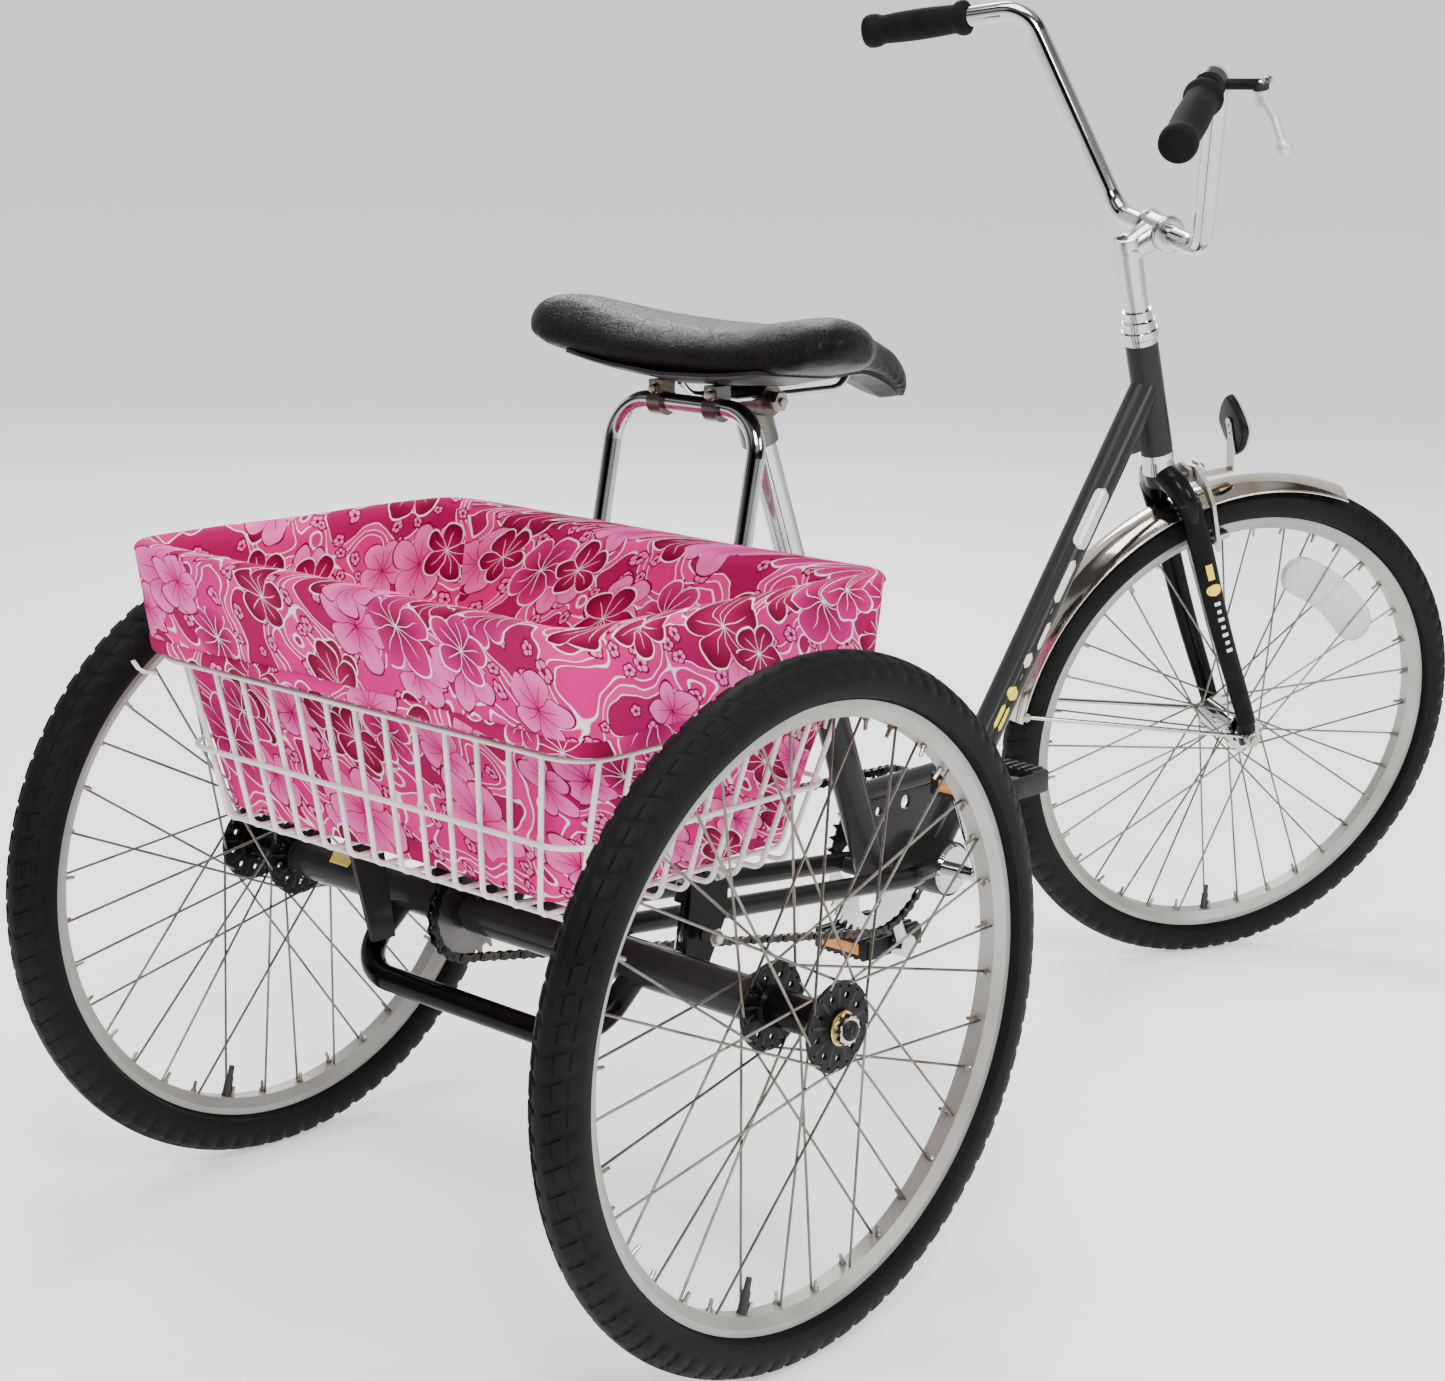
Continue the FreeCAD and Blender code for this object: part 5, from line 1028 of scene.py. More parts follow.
def link_seed(name, plate_y, waist, rollers):
    """One link along x: two waisted plates, with rollers or pins."""
    half = chain_pitch / 2
    eye_reach = 0.0042
    outline = [on_circle(eye_reach, turn, (half, 0.0)) for turn in range(-90, 91, 36)] + [(0.0, waist)]
    outline += [on_circle(eye_reach, turn, (-half, 0.0)) for turn in range(90, 271, 36)] + [(0.0, -waist)]
    points, faces = [], []
    for side in (1, -1):
        for y in (side * plate_y, side * (plate_y + 0.0010)):
            base = len(points)
            points += [(x, y, z) for x, z in outline]
            faces.append(tuple(range(base, base + len(outline))))
        first, second = len(points) - 2 * len(outline), len(points) - len(outline)
        for n in range(len(outline)):
            following = (n + 1) % len(outline)
            faces.append((first + n, first + following, second + following, second + n))
    for x in (-half, half):
        reach, width = (0.0037, plate_y) if rollers else (0.0017, plate_y + 0.0016)
        base = len(points)
        for y in (-width, width):
            points += [(px, y, pz) for px, pz in (on_circle(reach, turn, (x, 0.0))
                                                  for turn in range(0, 360, 45))]
        faces += [tuple(range(base, base + 8)), tuple(range(base + 8, base + 16))]
        faces += [(base + n, base + (n + 1) % 8, base + 8 + (n + 1) % 8, base + 8 + n) for n in range(8)]
    return sharpen(face_outwards(plain_piece(name, points, faces, chain_black)), 30)


# One strand carries the even links and one the odd ones, both on the same closed path.
links_along, entry, leave = geometry_tree("links_along_chain", (("Link", "NodeSocketObject", None),
                                                                ("Count", "NodeSocketInt", 100),
                                                                ("Phase", "NodeSocketInt", 0),
                                                                ("Finish", "NodeSocketMaterial", None)))
line = add_node(links_along, "GeometryNodeMeshToCurve")
feed(links_along, entry.outputs["Geometry"], line, 0)
evenly = add_node(links_along, "GeometryNodeResampleCurve", mode="COUNT")
feed(links_along, line.outputs[0], evenly, "Curve")
feed(links_along, entry.outputs["Count"], evenly, "Count")
index = add_node(links_along, "GeometryNodeInputIndex")
shifted = calc(links_along, "ADD", index.outputs[0], entry.outputs["Phase"])
odd = calc(links_along, "MODULO", shifted, 2.0)
pick = calc(links_along, "GREATER_THAN", odd, 0.5)
tangent = add_node(links_along, "GeometryNodeInputTangent")
turning = add_node(links_along, "FunctionNodeAlignRotationToVector", axis="X", pivot_axis="Y")
feed(links_along, tangent.outputs[0], turning, "Vector")
seed = add_node(links_along, "GeometryNodeObjectInfo")
feed(links_along, entry.outputs["Link"], seed, "Object")
place = add_node(links_along, "GeometryNodeInstanceOnPoints")
feed(links_along, evenly.outputs[0], place, "Points")
feed(links_along, pick, place, "Selection")
feed(links_along, seed.outputs["Geometry"], place, "Instance")
feed(links_along, turning.outputs[0], place, "Rotation")
real = add_node(links_along, "GeometryNodeRealizeInstances")
feed(links_along, place.outputs[0], real, 0)
finish = add_node(links_along, "GeometryNodeSetMaterial")
feed(links_along, real.outputs[0], finish, 0)
feed(links_along, entry.outputs["Finish"], finish, "Material")
feed(links_along, finish.outputs[0], leave, 0)
strands = []
for phase, seed_piece in ((0, link_seed("inner_link", 0.0018, 0.0030, True)),
                          (1, link_seed("outer_link", 0.0030, 0.0027, False))):
    mesh = bpy.data.meshes.new("chain_strand")
    mesh.from_pydata([tuple(spot) for spot in path], [(n, (n + 1) % len(path)) for n in range(len(path))], [])
    strand = bpy.data.objects.new("chain_strand_%d" % phase, mesh)
    scene.collection.objects.link(strand)
    grow(strand, links_along, {"Link": seed_piece, "Count": link_count, "Phase": phase,
                               "Finish": chain_black})
    bpy.data.objects.remove(seed_piece)
    strands.append(strand)
mount(join_pieces(strands, "roller_chain"), "frame", stands_for="chain")


# ---- Pedals ------------------------------------------------------------------------------
# Moulded black pedals: two treads with raised ribs joined by end cages round a barrel, a plain
# amber strip in each tread's face, and a dust cap over the end of the spindle.
pedal_black, tree, shader = new_finish("pedal_black", (0.004, 0.004, 0.0045), roughness=0.5)
shader.inputs["Specular IOR Level"].default_value = 0.2
feed(tree, blend_colour(tree, speckle(tree, 40.0, 4.0), (0.003, 0.003, 0.0035), (0.009, 0.009, 0.0085)),
     shader, "Base Color")
grain = speckle(tree, 900.0, 2.0)
feed(tree, between(tree, grain, 0.40, 0.62), shader, "Roughness")
roughen(tree, shader, grain, 0.3, 0.0003)
amber = film("amber_strip", (0.75, 0.25, 0.02), 0.15)


def moulded_block(shape, low, high, bevel=0.0012):
    """Adds a block with rounded edges to a bmesh."""
    made = bmesh.ops.create_cube(shape, size=1.0)
    for vertex in made["verts"]:
        vertex.co = Vector([(a + b) / 2 + (b - a) * part for a, b, part in zip(low, high, vertex.co)])
    edges = list({edge for vertex in made["verts"] for edge in vertex.link_edges})
    bmesh.ops.bevel(shape, geom=edges, offset=bevel, segments=2, profile=0.5, affect="EDGES",
                    clamp_overlap=True)


crank_reach = 0.138
crank_turn = math.radians(-63)
crank_way = Vector((math.cos(crank_turn), 0, math.sin(crank_turn)))
for side, sign in (("left", 1), ("right", -1)):
    eye_spot = bracket + crank_way * crank_reach * sign + Vector((0, sign * (0.0745 + 0.0075 + 0.002), 0))
    shape = bmesh.new()
    for low_x, high_x in ((0.027, 0.049), (-0.049, -0.027)):
        moulded_block(shape, (low_x, 0.003, -0.011), (high_x, 0.075, 0.011), 0.002)
        for number in range(7):
            start = 0.0065 + number * 0.0096
            moulded_block(shape, (low_x + 0.001, start, -0.013), (high_x - 0.001, start + 0.0052, 0.013),
                          0.0012)
    for low_y in (0.0, 0.0748):
        moulded_block(shape, (-0.046, low_y, -0.011), (0.046, low_y + 0.0032, 0.011), 0.0012)
    for step in (0.019, 0.055):
        moulded_block(shape, (-0.028, step, -0.004), (0.028, step + 0.004, 0.004), 0.0008)
    mesh = bpy.data.meshes.new(side + "_moulded_pedal")
    shape.to_mesh(mesh)
    shape.free()
    mesh.materials.append(pedal_black)
    body_piece = bpy.data.objects.new(side + "_moulded_pedal", mesh)
    scene.collection.objects.link(body_piece)
    sharpen(body_piece, 40)
    barrel = lathe_piece("barrel", [(0.001, 0.0052), (0.001, 0.0105), (0.004, 0.0112), (0.030, 0.0096),
                                    (0.050, 0.0096), (0.074, 0.0108), (0.0775, 0.0100), (0.0775, 0.0052)],
                         pedal_black, 28, closed=True)
    cap = lathe_piece("cap", [(0.0772, 0.0), (0.0772, 0.0088), (0.0782, 0.0086), (0.0786, 0.0060),
                              (0.0787, 0.0)], pedal_black, 24)
    join_pieces([body_piece, barrel, cap], side + "_moulded_pedal")
    body_piece.data.transform(Matrix.Diagonal((1, sign, 1, 1)))
    body_piece.data.transform(Matrix.Translation(eye_spot))
    face_outwards(body_piece, 0.000001)
    mount(body_piece, side + "_pedal", stands_for=side + "_pedal")
    for end, x in (("front", 0.0488), ("rear", -0.0488)):
        strip = slab_piece("%s_pedal_amber_%s" % (side, end),
                           [(-0.026, -0.006), (0.026, -0.006), (0.026, 0.006), (-0.026, 0.006)],
                           -0.0007, 0.0007, amber, 0.0004)
        strip.data.transform(face_ahead)
        face_outwards(strip)
        mount(strip, side + "_pedal",
              Matrix.Translation(eye_spot + Vector((x, sign * 0.039, 0))))


# ---- Saddle supports ---------------------------------------------------------------------
# A chromed post and a chromed U strut carry the saddle in dark steel clamps. Plated bolts and
# nuts close the clamps.
paint(chrome, "seat_post", "seat_strut")
paint(dark_steel, "saddle_clamp")
for side in (1, -1):
    spot = Vector((rear_x + 0.213, side * 0.0345, 0.760))
    for step, way in ((-0.011, -1), (0.011, 1)):
        bolt = lathe_piece("strut_clamp_bolt_%s_%s" % (hand(side), "rear" if way < 0 else "front"),
                           [(-0.002, 0.0), (-0.002, 0.0060), (0.0006, 0.0062), (0.0006, 0.0046),
                            (0.0040, 0.0044), (0.0044, 0.0036), (0.0044, 0.0)], zinc, 6)
        mount(bolt, "seat", aim(spot + Vector((step * 0.85, 0, -0.006)), Vector((way, 0, 0))))
clamp_height = 0.742
clamp_x = rear_x + 0.505 - (clamp_height - 0.232) / math.tan(math.radians(67.6))
for side in (1, -1):
    nut = lathe_piece("post_clamp_nut_" + hand(side), [(0.0, 0.0), (0.0, 0.0096), (0.0010, 0.0102),
                                                       (0.0056, 0.0102), (0.0064, 0.0094), (0.0064, 0.0042),
                                                       (0.0090, 0.0040), (0.0096, 0.0)], zinc, 6)
    mount(nut, "seat", aim(Vector((clamp_x, side * 0.0338, clamp_height)), Vector((0, side, 0))))


# ---- Saddle ------------------------------------------------------------------------------
# A wide moulded foam saddle under one black vinyl cover: two raised rear lobes, a dip between
# them and a drooping nose. Below is a black pan on two plated wire rails.
saddle_black = enamel("saddle_pan_black", (0.003, 0.003, 0.0035), 0.34)
pad_low, pad_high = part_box("saddle_pad")
saddle_vinyl, tree, shader = new_finish("saddle_vinyl", (0.004, 0.004, 0.0045), roughness=0.42)
shader.inputs["Specular IOR Level"].default_value = 0.12
where = add_node(tree, "ShaderNodeTexCoord")
warp = speckle(tree, 38.0, 3.0)
pebble = add_node(tree, "ShaderNodeTexVoronoi", feature="DISTANCE_TO_EDGE")
pebble.inputs["Scale"].default_value = 210.0
feed(tree, where.outputs["Object"], pebble, "Vector")
crease = add_node(tree, "ShaderNodeTexVoronoi", feature="DISTANCE_TO_EDGE")
crease.inputs["Scale"].default_value = 62.0
bent = add_node(tree, "ShaderNodeVectorMath", operation="MULTIPLY_ADD")
feed(tree, where.outputs["Object"], bent, 0)
bent.inputs[1].default_value = (1.0, 1.6, 1.0)
feed(tree, warp, bent, 2)
feed(tree, bent.outputs[0], crease, "Vector")
grain = calc(tree, "ADD", between(tree, pebble.outputs["Distance"], 0.0, 0.55, 0.0, 0.10),
             between(tree, crease.outputs["Distance"], 0.0, 0.85, 0.0, 0.07))
roughen(tree, shader, grain, 0.75, 0.0009)
feed(tree, blend_colour(tree, between(tree, speckle(tree, 26.0, 4.0), 0.0, 1.0, 0.40, 0.80),
                        (0.002, 0.002, 0.0025), (0.0055, 0.005, 0.0055)), shader, "Base Color")
feed(tree, between(tree, grain, 0.56, 0.36, 0.1, 1.3), shader, "Roughness")

# Each station: share of length from the back, half width, middle, lobe and underside heights in mm.
saddle_stations = ((0.0, 0.80, 27, 33, 20), (0.025, 0.90, 36, 48, 13), (0.07, 0.97, 42, 61, 8),
                   (0.14, 1.0, 46, 65, 4), (0.24, 0.97, 46, 60, 1), (0.36, 0.82, 43, 48, 0),
                   (0.48, 0.60, 38, 39, 0), (0.60, 0.42, 34, 34, 0), (0.73, 0.30, 27, 27, -2),
                   (0.85, 0.23, 14, 14, -14), (0.93, 0.18, -3, -3, -27), (0.98, 0.12, -17, -17, -36),
                   (1.0, 0.06, -26, -26, -38))
saddle_length = pad_high.x - pad_low.x
saddle_half = (pad_high.y - pad_low.y) / 2 - 0.003
saddle_base = 0.765


def saddle_section(half, middle, lobe, under):
    """Half a cross-section from the middle of the top round to the middle of the underside."""
    rise = (lobe - under) * 0.42 * min(1.0, max(0.0, (half - 0.30) / 0.5))
    brim, step = under + rise, lobe - middle
    return [(0.0, middle), (0.20, middle + step * 0.05), (0.42, middle + step * 0.26),
            (0.62, middle + step * 0.62), (0.80, lobe - step * 0.07), (0.90, lobe),
            (0.965, lobe - (lobe - brim) * 0.14), (1.0, lobe - (lobe - brim) * 0.48),
            (0.985, brim + (lobe - brim) * 0.12), (0.93, brim - rise * 0.03), (0.72, under + rise * 0.50),
            (0.40, under + rise * 0.12), (0.0, under)]


def smooth_row(values, share):
    """Catmull-Rom through rows of numbers; share runs over the rows."""
    last = len(values) - 1
    number = min(int(share), last - 1)
    t = share - number
    rows = [values[min(max(number + step, 0), last)] for step in (-1, 0, 1, 2)]
    return [0.5 * (2 * b + (c - a) * t + (2 * a - 5 * b + 4 * c - d) * t * t + (3 * b - a - 3 * c + d)
                   * t ** 3) for a, b, c, d in zip(*rows)]


stations = []
for share, width, middle, lobe, under in saddle_stations:
    section = saddle_section(width, middle, lobe, under)
    stations.append([share] + [number for y, z in section for number in (y * width * saddle_half, z / 1000)])
rings = []
for step in range(0, 12 * 5 + 1):
    row = smooth_row(stations, step / 5)
    spots = [(row[1 + 2 * n], row[2 + 2 * n]) for n in range(13)]
    fine = [tuple(smooth_row(spots, n / 3)) for n in range(0, 37)]
    x = pad_low.x + 0.002 + (saddle_length - 0.004) * row[0]
    right = [Vector((x, -y, saddle_base + z)) for y, z in fine]
    left = [Vector((x, y, saddle_base + z)) for y, z in reversed(fine[1:-1])]
    rings.append(right + left)
count = len(rings[0])
points = [spot for ring_points in rings for spot in ring_points]
faces = tube_faces(len(rings), count)
for base, spots in ((0, rings[0]), ((len(rings) - 1) * count, rings[-1])):
    middle = sum(spots, Vector()) / count
    points.append(middle)
    faces += [(base + n, base + (n + 1) % count, len(points) - 1) for n in range(count)]
saddle_cover = face_outwards(plain_piece("saddle_cover", points, faces, saddle_vinyl))
# The foam is let out under its cover a little, so the skin tightens between the edges.
shrunk = saddle_cover.modifiers.new("remesh", "REMESH")
shrunk.mode = "VOXEL"
shrunk.voxel_size = 0.005
settle(saddle_cover)
start_spots = [vertex.co.copy() for vertex in saddle_cover.data.vertices]
swelling = saddle_cover.modifiers.new("swelling", "CLOTH")
swelling.settings.use_pressure = True
swelling.settings.uniform_pressure_force = 3.0
swelling.settings.effector_weights.gravity = 0.0
swelling.settings.quality = 5
for number in range(1, 19):
    scene.frame_set(number)
swollen = saddle_cover.evaluated_get(bpy.context.evaluated_depsgraph_get())
end_spots = [vertex.co.copy() for vertex in swollen.data.vertices]
saddle_cover.modifiers.clear()
scene.frame_set(1)
for vertex, before, after in zip(saddle_cover.data.vertices, start_spots, end_spots):
    shift_by = after - before
    limit = 0.0035 * min(max((before.z - saddle_base - 0.004) / 0.02, 0.0), 1.0)
    if shift_by.length > limit:
        shift_by = shift_by.normalized() * limit if limit > 0 else Vector()
    vertex.co = before + shift_by
softened = saddle_cover.modifiers.new("softened", "SMOOTH")
softened.iterations = 4
finer = saddle_cover.modifiers.new("finer", "SUBSURF")
finer.levels = finer.render_levels = 1
mesh = settle(saddle_cover).data
if not mesh.materials:
    mesh.materials.append(saddle_vinyl)
mesh.polygons.foreach_set("use_smooth", [True] * len(mesh.polygons))
shell_points, shell_faces = [], []
shell_rows = rings[4:52]
for drop in (0.0012, 0.0042):
    for number, ring_points in enumerate(shell_rows):
        draw_in = 1.0 if 0 < number < len(shell_rows) - 1 else 0.96
        shell_points += [Vector((spot.x, spot.y * draw_in * 0.98,
                                 spot.z - drop - 0.004 * (1 - abs(column - 6) / 6))) for column,
                         spot in enumerate(ring_points[30:43])]
layer = len(shell_rows) * 13
for row in range(len(shell_rows) - 1):
    for column in range(12):
        first = row * 13 + column
        shell_faces += [(first, first + 1, first + 14, first + 13),
                        (layer + first + 13, layer + first + 14, layer + first + 1, layer + first)]
border = [row * 13 for row in range(len(shell_rows))]
border += [(len(shell_rows) - 1) * 13 + column for column in range(1, 13)]
border += [row * 13 + 12 for row in reversed(range(len(shell_rows) - 1))]
border += list(range(11, 0, -1))
shell_faces += [(a, b, b + layer, a + layer) for a, b in zip(border, border[1:] + border[:1])]
shell = sharpen(face_outwards(plain_piece("saddle_shell", shell_points, shell_faces, saddle_black)), 40)
for side in (1, -1):
    track = [Vector((rear_x + x, side * 0.022, z)) for x, z in ((0.2248, 0.7600), (0.2330, 0.7520),
                                                                (0.2400, 0.7475), (0.2500, 0.7460),
                                                                (0.32, 0.7460), (0.3876, 0.7460),
                                                                (0.3976, 0.7475), (0.4046, 0.7520),
                                                                (0.4128, 0.7600))]
    rail = sweep_piece("saddle_rail_" + hand(side), track, 0.0034, chrome, 14)
    mount(rail, "seat")
mount(shell, "seat", stands_for="saddle_frame")
mount(saddle_cover, "seat", stands_for="saddle_pad")


# ---- Basket ------------------------------------------------------------------------------
# Welded steel wire dipped in white plastic, with a heavier rim wire. Zinc screws hold its black
# brackets and zinc straps cross its floor. A yellow paper tag lies on the carrier beside it.
white_dip, tree, shader = new_finish("white_dip", (0.80, 0.79, 0.77), roughness=0.34)
shader.inputs["Coat Weight"].default_value = 0.3
soil = speckle(tree, 24.0, 5.0)
feed(tree, blend_colour(tree, between(tree, soil, 0.0, 1.0, 0.48, 0.82), (0.82, 0.81, 0.79),
                        (0.60, 0.57, 0.52)), shader, "Base Color")
feed(tree, between(tree, speckle(tree, 300.0), 0.26, 0.46), shader, "Roughness")
roughen(tree, shader, speckle(tree, 260.0, 2.0), 0.15, 0.0004)
paint(white_dip, "basket_rings", "basket_wires")
basket_x = rear_x - 0.017
basket_floor, basket_rim = 0.383, 0.622


def basket_half(height):
    """Half sizes of the wire wall at a height: it widens fast low down and slowly above."""
    share = (height - basket_floor) / (basket_rim - basket_floor)
    along = 0.148 + 0.040 * share
    wide = 0.222 + 0.044 * share / 0.6 if share < 0.6 else 0.266 + 0.002 * (share - 0.6) / 0.4
    return along, wide


for side in (1, -1):
    for number, (x, z) in enumerate(((0.112, 0.292), (0.114, 0.352))):
        screw = lathe_piece("bracket_screw_%s_%d" % (hand(side), number),
                            [(0.0, 0.0), (0.0, 0.0085), (0.0012, 0.0085), (0.0012, 0.0062), (0.0050, 0.0060),
                             (0.0058, 0.0050), (0.0058, 0.0)], zinc, 6)
        place = Vector((rear_x + x, side * (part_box("basket_brackets")[1].y - 0.0004), z))
        mount(screw, "frame", aim(place, Vector((0, side, 0))))
for side in (1, -1):
    for number, x in enumerate((0.085, -0.078)):
        strap = slab_piece("floor_strap_%s_%d" % (hand(side), number),
                           [(-0.024, 0.0), (0.024, 0.0), (0.024, 0.0018), (-0.024, 0.0018)], -0.008, 0.008,
                           zinc, 0.0005)
        mount(strap, "frame", Matrix.Translation((rear_x + x, side * 0.115, basket_floor + 0.0026)))
hook = sweep_piece("basket_hook_tab", [Vector((basket_x - 0.1895, 0.236, 0.5175)) + Vector(step)
                                       for step in ((0, 0, 0), (-0.004, 0.012, 0), (-0.005, 0.018, 0.002),
                                                    (-0.006, 0.024, 0.008))], 0.0032, white_dip, 12, 0.45)
mount(hook, "frame")
paper_yellow = film("paper_yellow", (0.80, 0.66, 0.12), 0.6)
tube_patch("axle_tag", Vector((rear_x, 0.20, 0.298)), Vector((rear_x, 0.30, 0.298)), 0.019,
           Vector((-0.25, 0, 1)), [(0.006, 0.040, -44, 30)], paper_yellow, "frame", 0.001)


# ---- Basket liner ------------------------------------------------------------------------
# One printed cotton liner: a floor and four walls inside the wires, folded over the rim into a
# skirt that hangs outside. Its corners are sewn, its hem is turned, and the cloth is wrinkled.
def corner_loop(half_x, half_y, corner, steps_side=44, steps_end=58, steps_corner=9):
    """Points round a rectangle with round corners, evenly placed on each stretch."""
    loop = []
    spans = ((1, 1, steps_corner), (-1, 1, steps_corner), (-1, -1, steps_corner), (1, -1, steps_corner))
    for number, (sx, sy, steps) in enumerate(spans):
        centre = Vector((sx * (half_x - corner), sy * (half_y - corner), 0))
        for step in range(steps):
            turn = math.radians(90 * number + 90 * step / (steps - 1))
            loop.append(centre + Vector((math.cos(turn), math.sin(turn), 0)) * corner)
        straight = steps_side if number % 2 == 0 else steps_end
        following = spans[(number + 1) % 4]
        next_centre = Vector((following[0] * (half_x - corner), following[1] * (half_y - corner), 0))
        turn = math.radians(90 * number + 90)
        start = centre + Vector((math.cos(turn), math.sin(turn), 0)) * corner
        end = next_centre + Vector((math.cos(turn), math.sin(turn), 0)) * corner
        loop += [start.lerp(end, step / straight) for step in range(1, straight)]
    return loop


liner_top = 0.6320
skirt_out, tub_in = 0.0062, -0.0128
levels = []
for step in range(15):
    levels.append((0.5345 + (liner_top - 0.010 - 0.5345) * step / 14, skirt_out, "skirt"))
for turn in range(15, 180, 15):
    angle = math.radians(turn)
    half_roll = (skirt_out - tub_in) / 2
    levels.append((liner_top - 0.010 + 0.0105 * math.sin(angle),
                   (skirt_out + tub_in) / 2 + half_roll * math.cos(angle), "roll"))
for step in range(26):
    levels.append((liner_top - 0.010 - (liner_top - 0.010 - basket_floor - 0.014) * step / 25, tub_in,
                   "wall"))
points, mapped, kinds = [], [], []
travel = 0.0
before = None
for height, outset, kind in levels:
    half_x, half_y = basket_half(height)
    corner = {"skirt": 0.030, "roll": 0.026, "wall": 0.022}[kind]
    loop = corner_loop(half_x + outset, half_y + outset, corner)
    ring_count = len(loop)
    here = (height, outset)
    if before is not None:
        travel += math.hypot(height - before[0], outset - before[1])
    before = here
    run = 0.0
    for number, spot in enumerate(loop):
        if number:
            run += (spot - loop[number - 1]).length
        points.append(Vector((basket_x + spot.x, spot.y, height)))
        mapped.append((run, travel))
        kinds.append(kind)
floor_z = basket_floor + 0.0095
floor_half_x, floor_half_y = basket_half(basket_floor)
floor_rows = 16
for row in range(floor_rows):
    share = 1 - row / floor_rows
    lift = 0.006 * max(0.0, (share - 0.93) / 0.07) if share > 0.93 else 0.0
    loop = corner_loop((floor_half_x + tub_in - 0.002) * share, (floor_half_y + tub_in - 0.002) * share,
                       0.021 * share)
    for spot in loop:
        points.append(Vector((basket_x + spot.x, spot.y, floor_z + lift)))
        mapped.append((spot.x * 0.98 + 3.0, spot.y * 0.98 + 1.0))
        kinds.append("floor")
points.append(Vector((basket_x, 0, floor_z)))
mapped.append((3.0, 1.0))
kinds.append("floor")
total_rows = len(levels) + floor_rows
faces = tube_faces(total_rows, ring_count)
faces += [((total_rows - 1) * ring_count + n, (total_rows - 1) * ring_count + (n + 1) % ring_count,
           len(points) - 1) for n in range(ring_count)]
shaped = []
for spot, kind in zip(points, kinds):
    centre = Vector((basket_x, 0, spot.z))
    half_x, half_y = basket_half(spot.z)
    nx, ny = (spot.x - basket_x) / half_x, spot.y / half_y
    outward = Vector((nx if abs(nx) > abs(ny) * 0.9 else 0.0, ny if abs(ny) > abs(nx) * 0.9 else 0.0,
                      0)).normalized()
    broad = noise.noise(Vector((spot.x * 13, spot.y * 13, spot.z * 6)))
    fine = noise.noise(Vector((spot.x * 31 + 5, spot.y * 31, spot.z * 17)))
    rumple = broad + 0.5 * fine
    drag = noise.noise(Vector((spot.x * 9 + 40, spot.y * 9, 2.0)))
    if kind == "skirt":
        free = (liner_top - spot.z) / 0.10
        spot = (spot + outward * (0.0038 * rumple * free + 0.0012 * free)
                + Vector((0, 0, 0.0035 * drag * free)))
    elif kind == "roll":
        spot = spot + outward * 0.0014 * rumple + Vector((0, 0, 0.0022 * drag - 0.001))
    elif kind == "wall":
        slack = math.sin(math.pi * min(1.0, (liner_top - spot.z) / (liner_top - basket_floor)))
        spot = spot - outward * (0.0035 * slack * (1 + rumple * 1.2) + 0.0008)
    else:
        spot = spot + Vector((0, 0, 0.0022 * (1 + rumple)))
    shaped.append(spot)
liner_print, tree, shader = new_finish("printed_cotton", (0.80, 0.11, 0.36), roughness=0.85)
shader.inputs["Sheen Weight"].default_value = 0.03
shader.inputs["Sheen Roughness"].default_value = 0.5
shader.inputs["Specular IOR Level"].default_value = 0.08
cloth_map = add_node(tree, "ShaderNodeUVMap", uv_map="cloth")
sway = add_node(tree, "ShaderNodeTexNoise", noise_dimensions="2D")
sway.inputs["Scale"].default_value = 34.0
sway.inputs["Detail"].default_value = 1.0
feed(tree, cloth_map.outputs[0], sway, "Vector")
centred = add_node(tree, "ShaderNodeVectorMath", operation="SUBTRACT")
feed(tree, sway.outputs["Color"], centred, 0)
centred.inputs[1].default_value = (0.5, 0.5, 0.5)
wavy = add_node(tree, "ShaderNodeVectorMath", operation="MULTIPLY_ADD")
feed(tree, centred.outputs[0], wavy, 0)
wavy.inputs[1].default_value = (0.010, 0.010, 0.0)
feed(tree, cloth_map.outputs[0], wavy, 2)


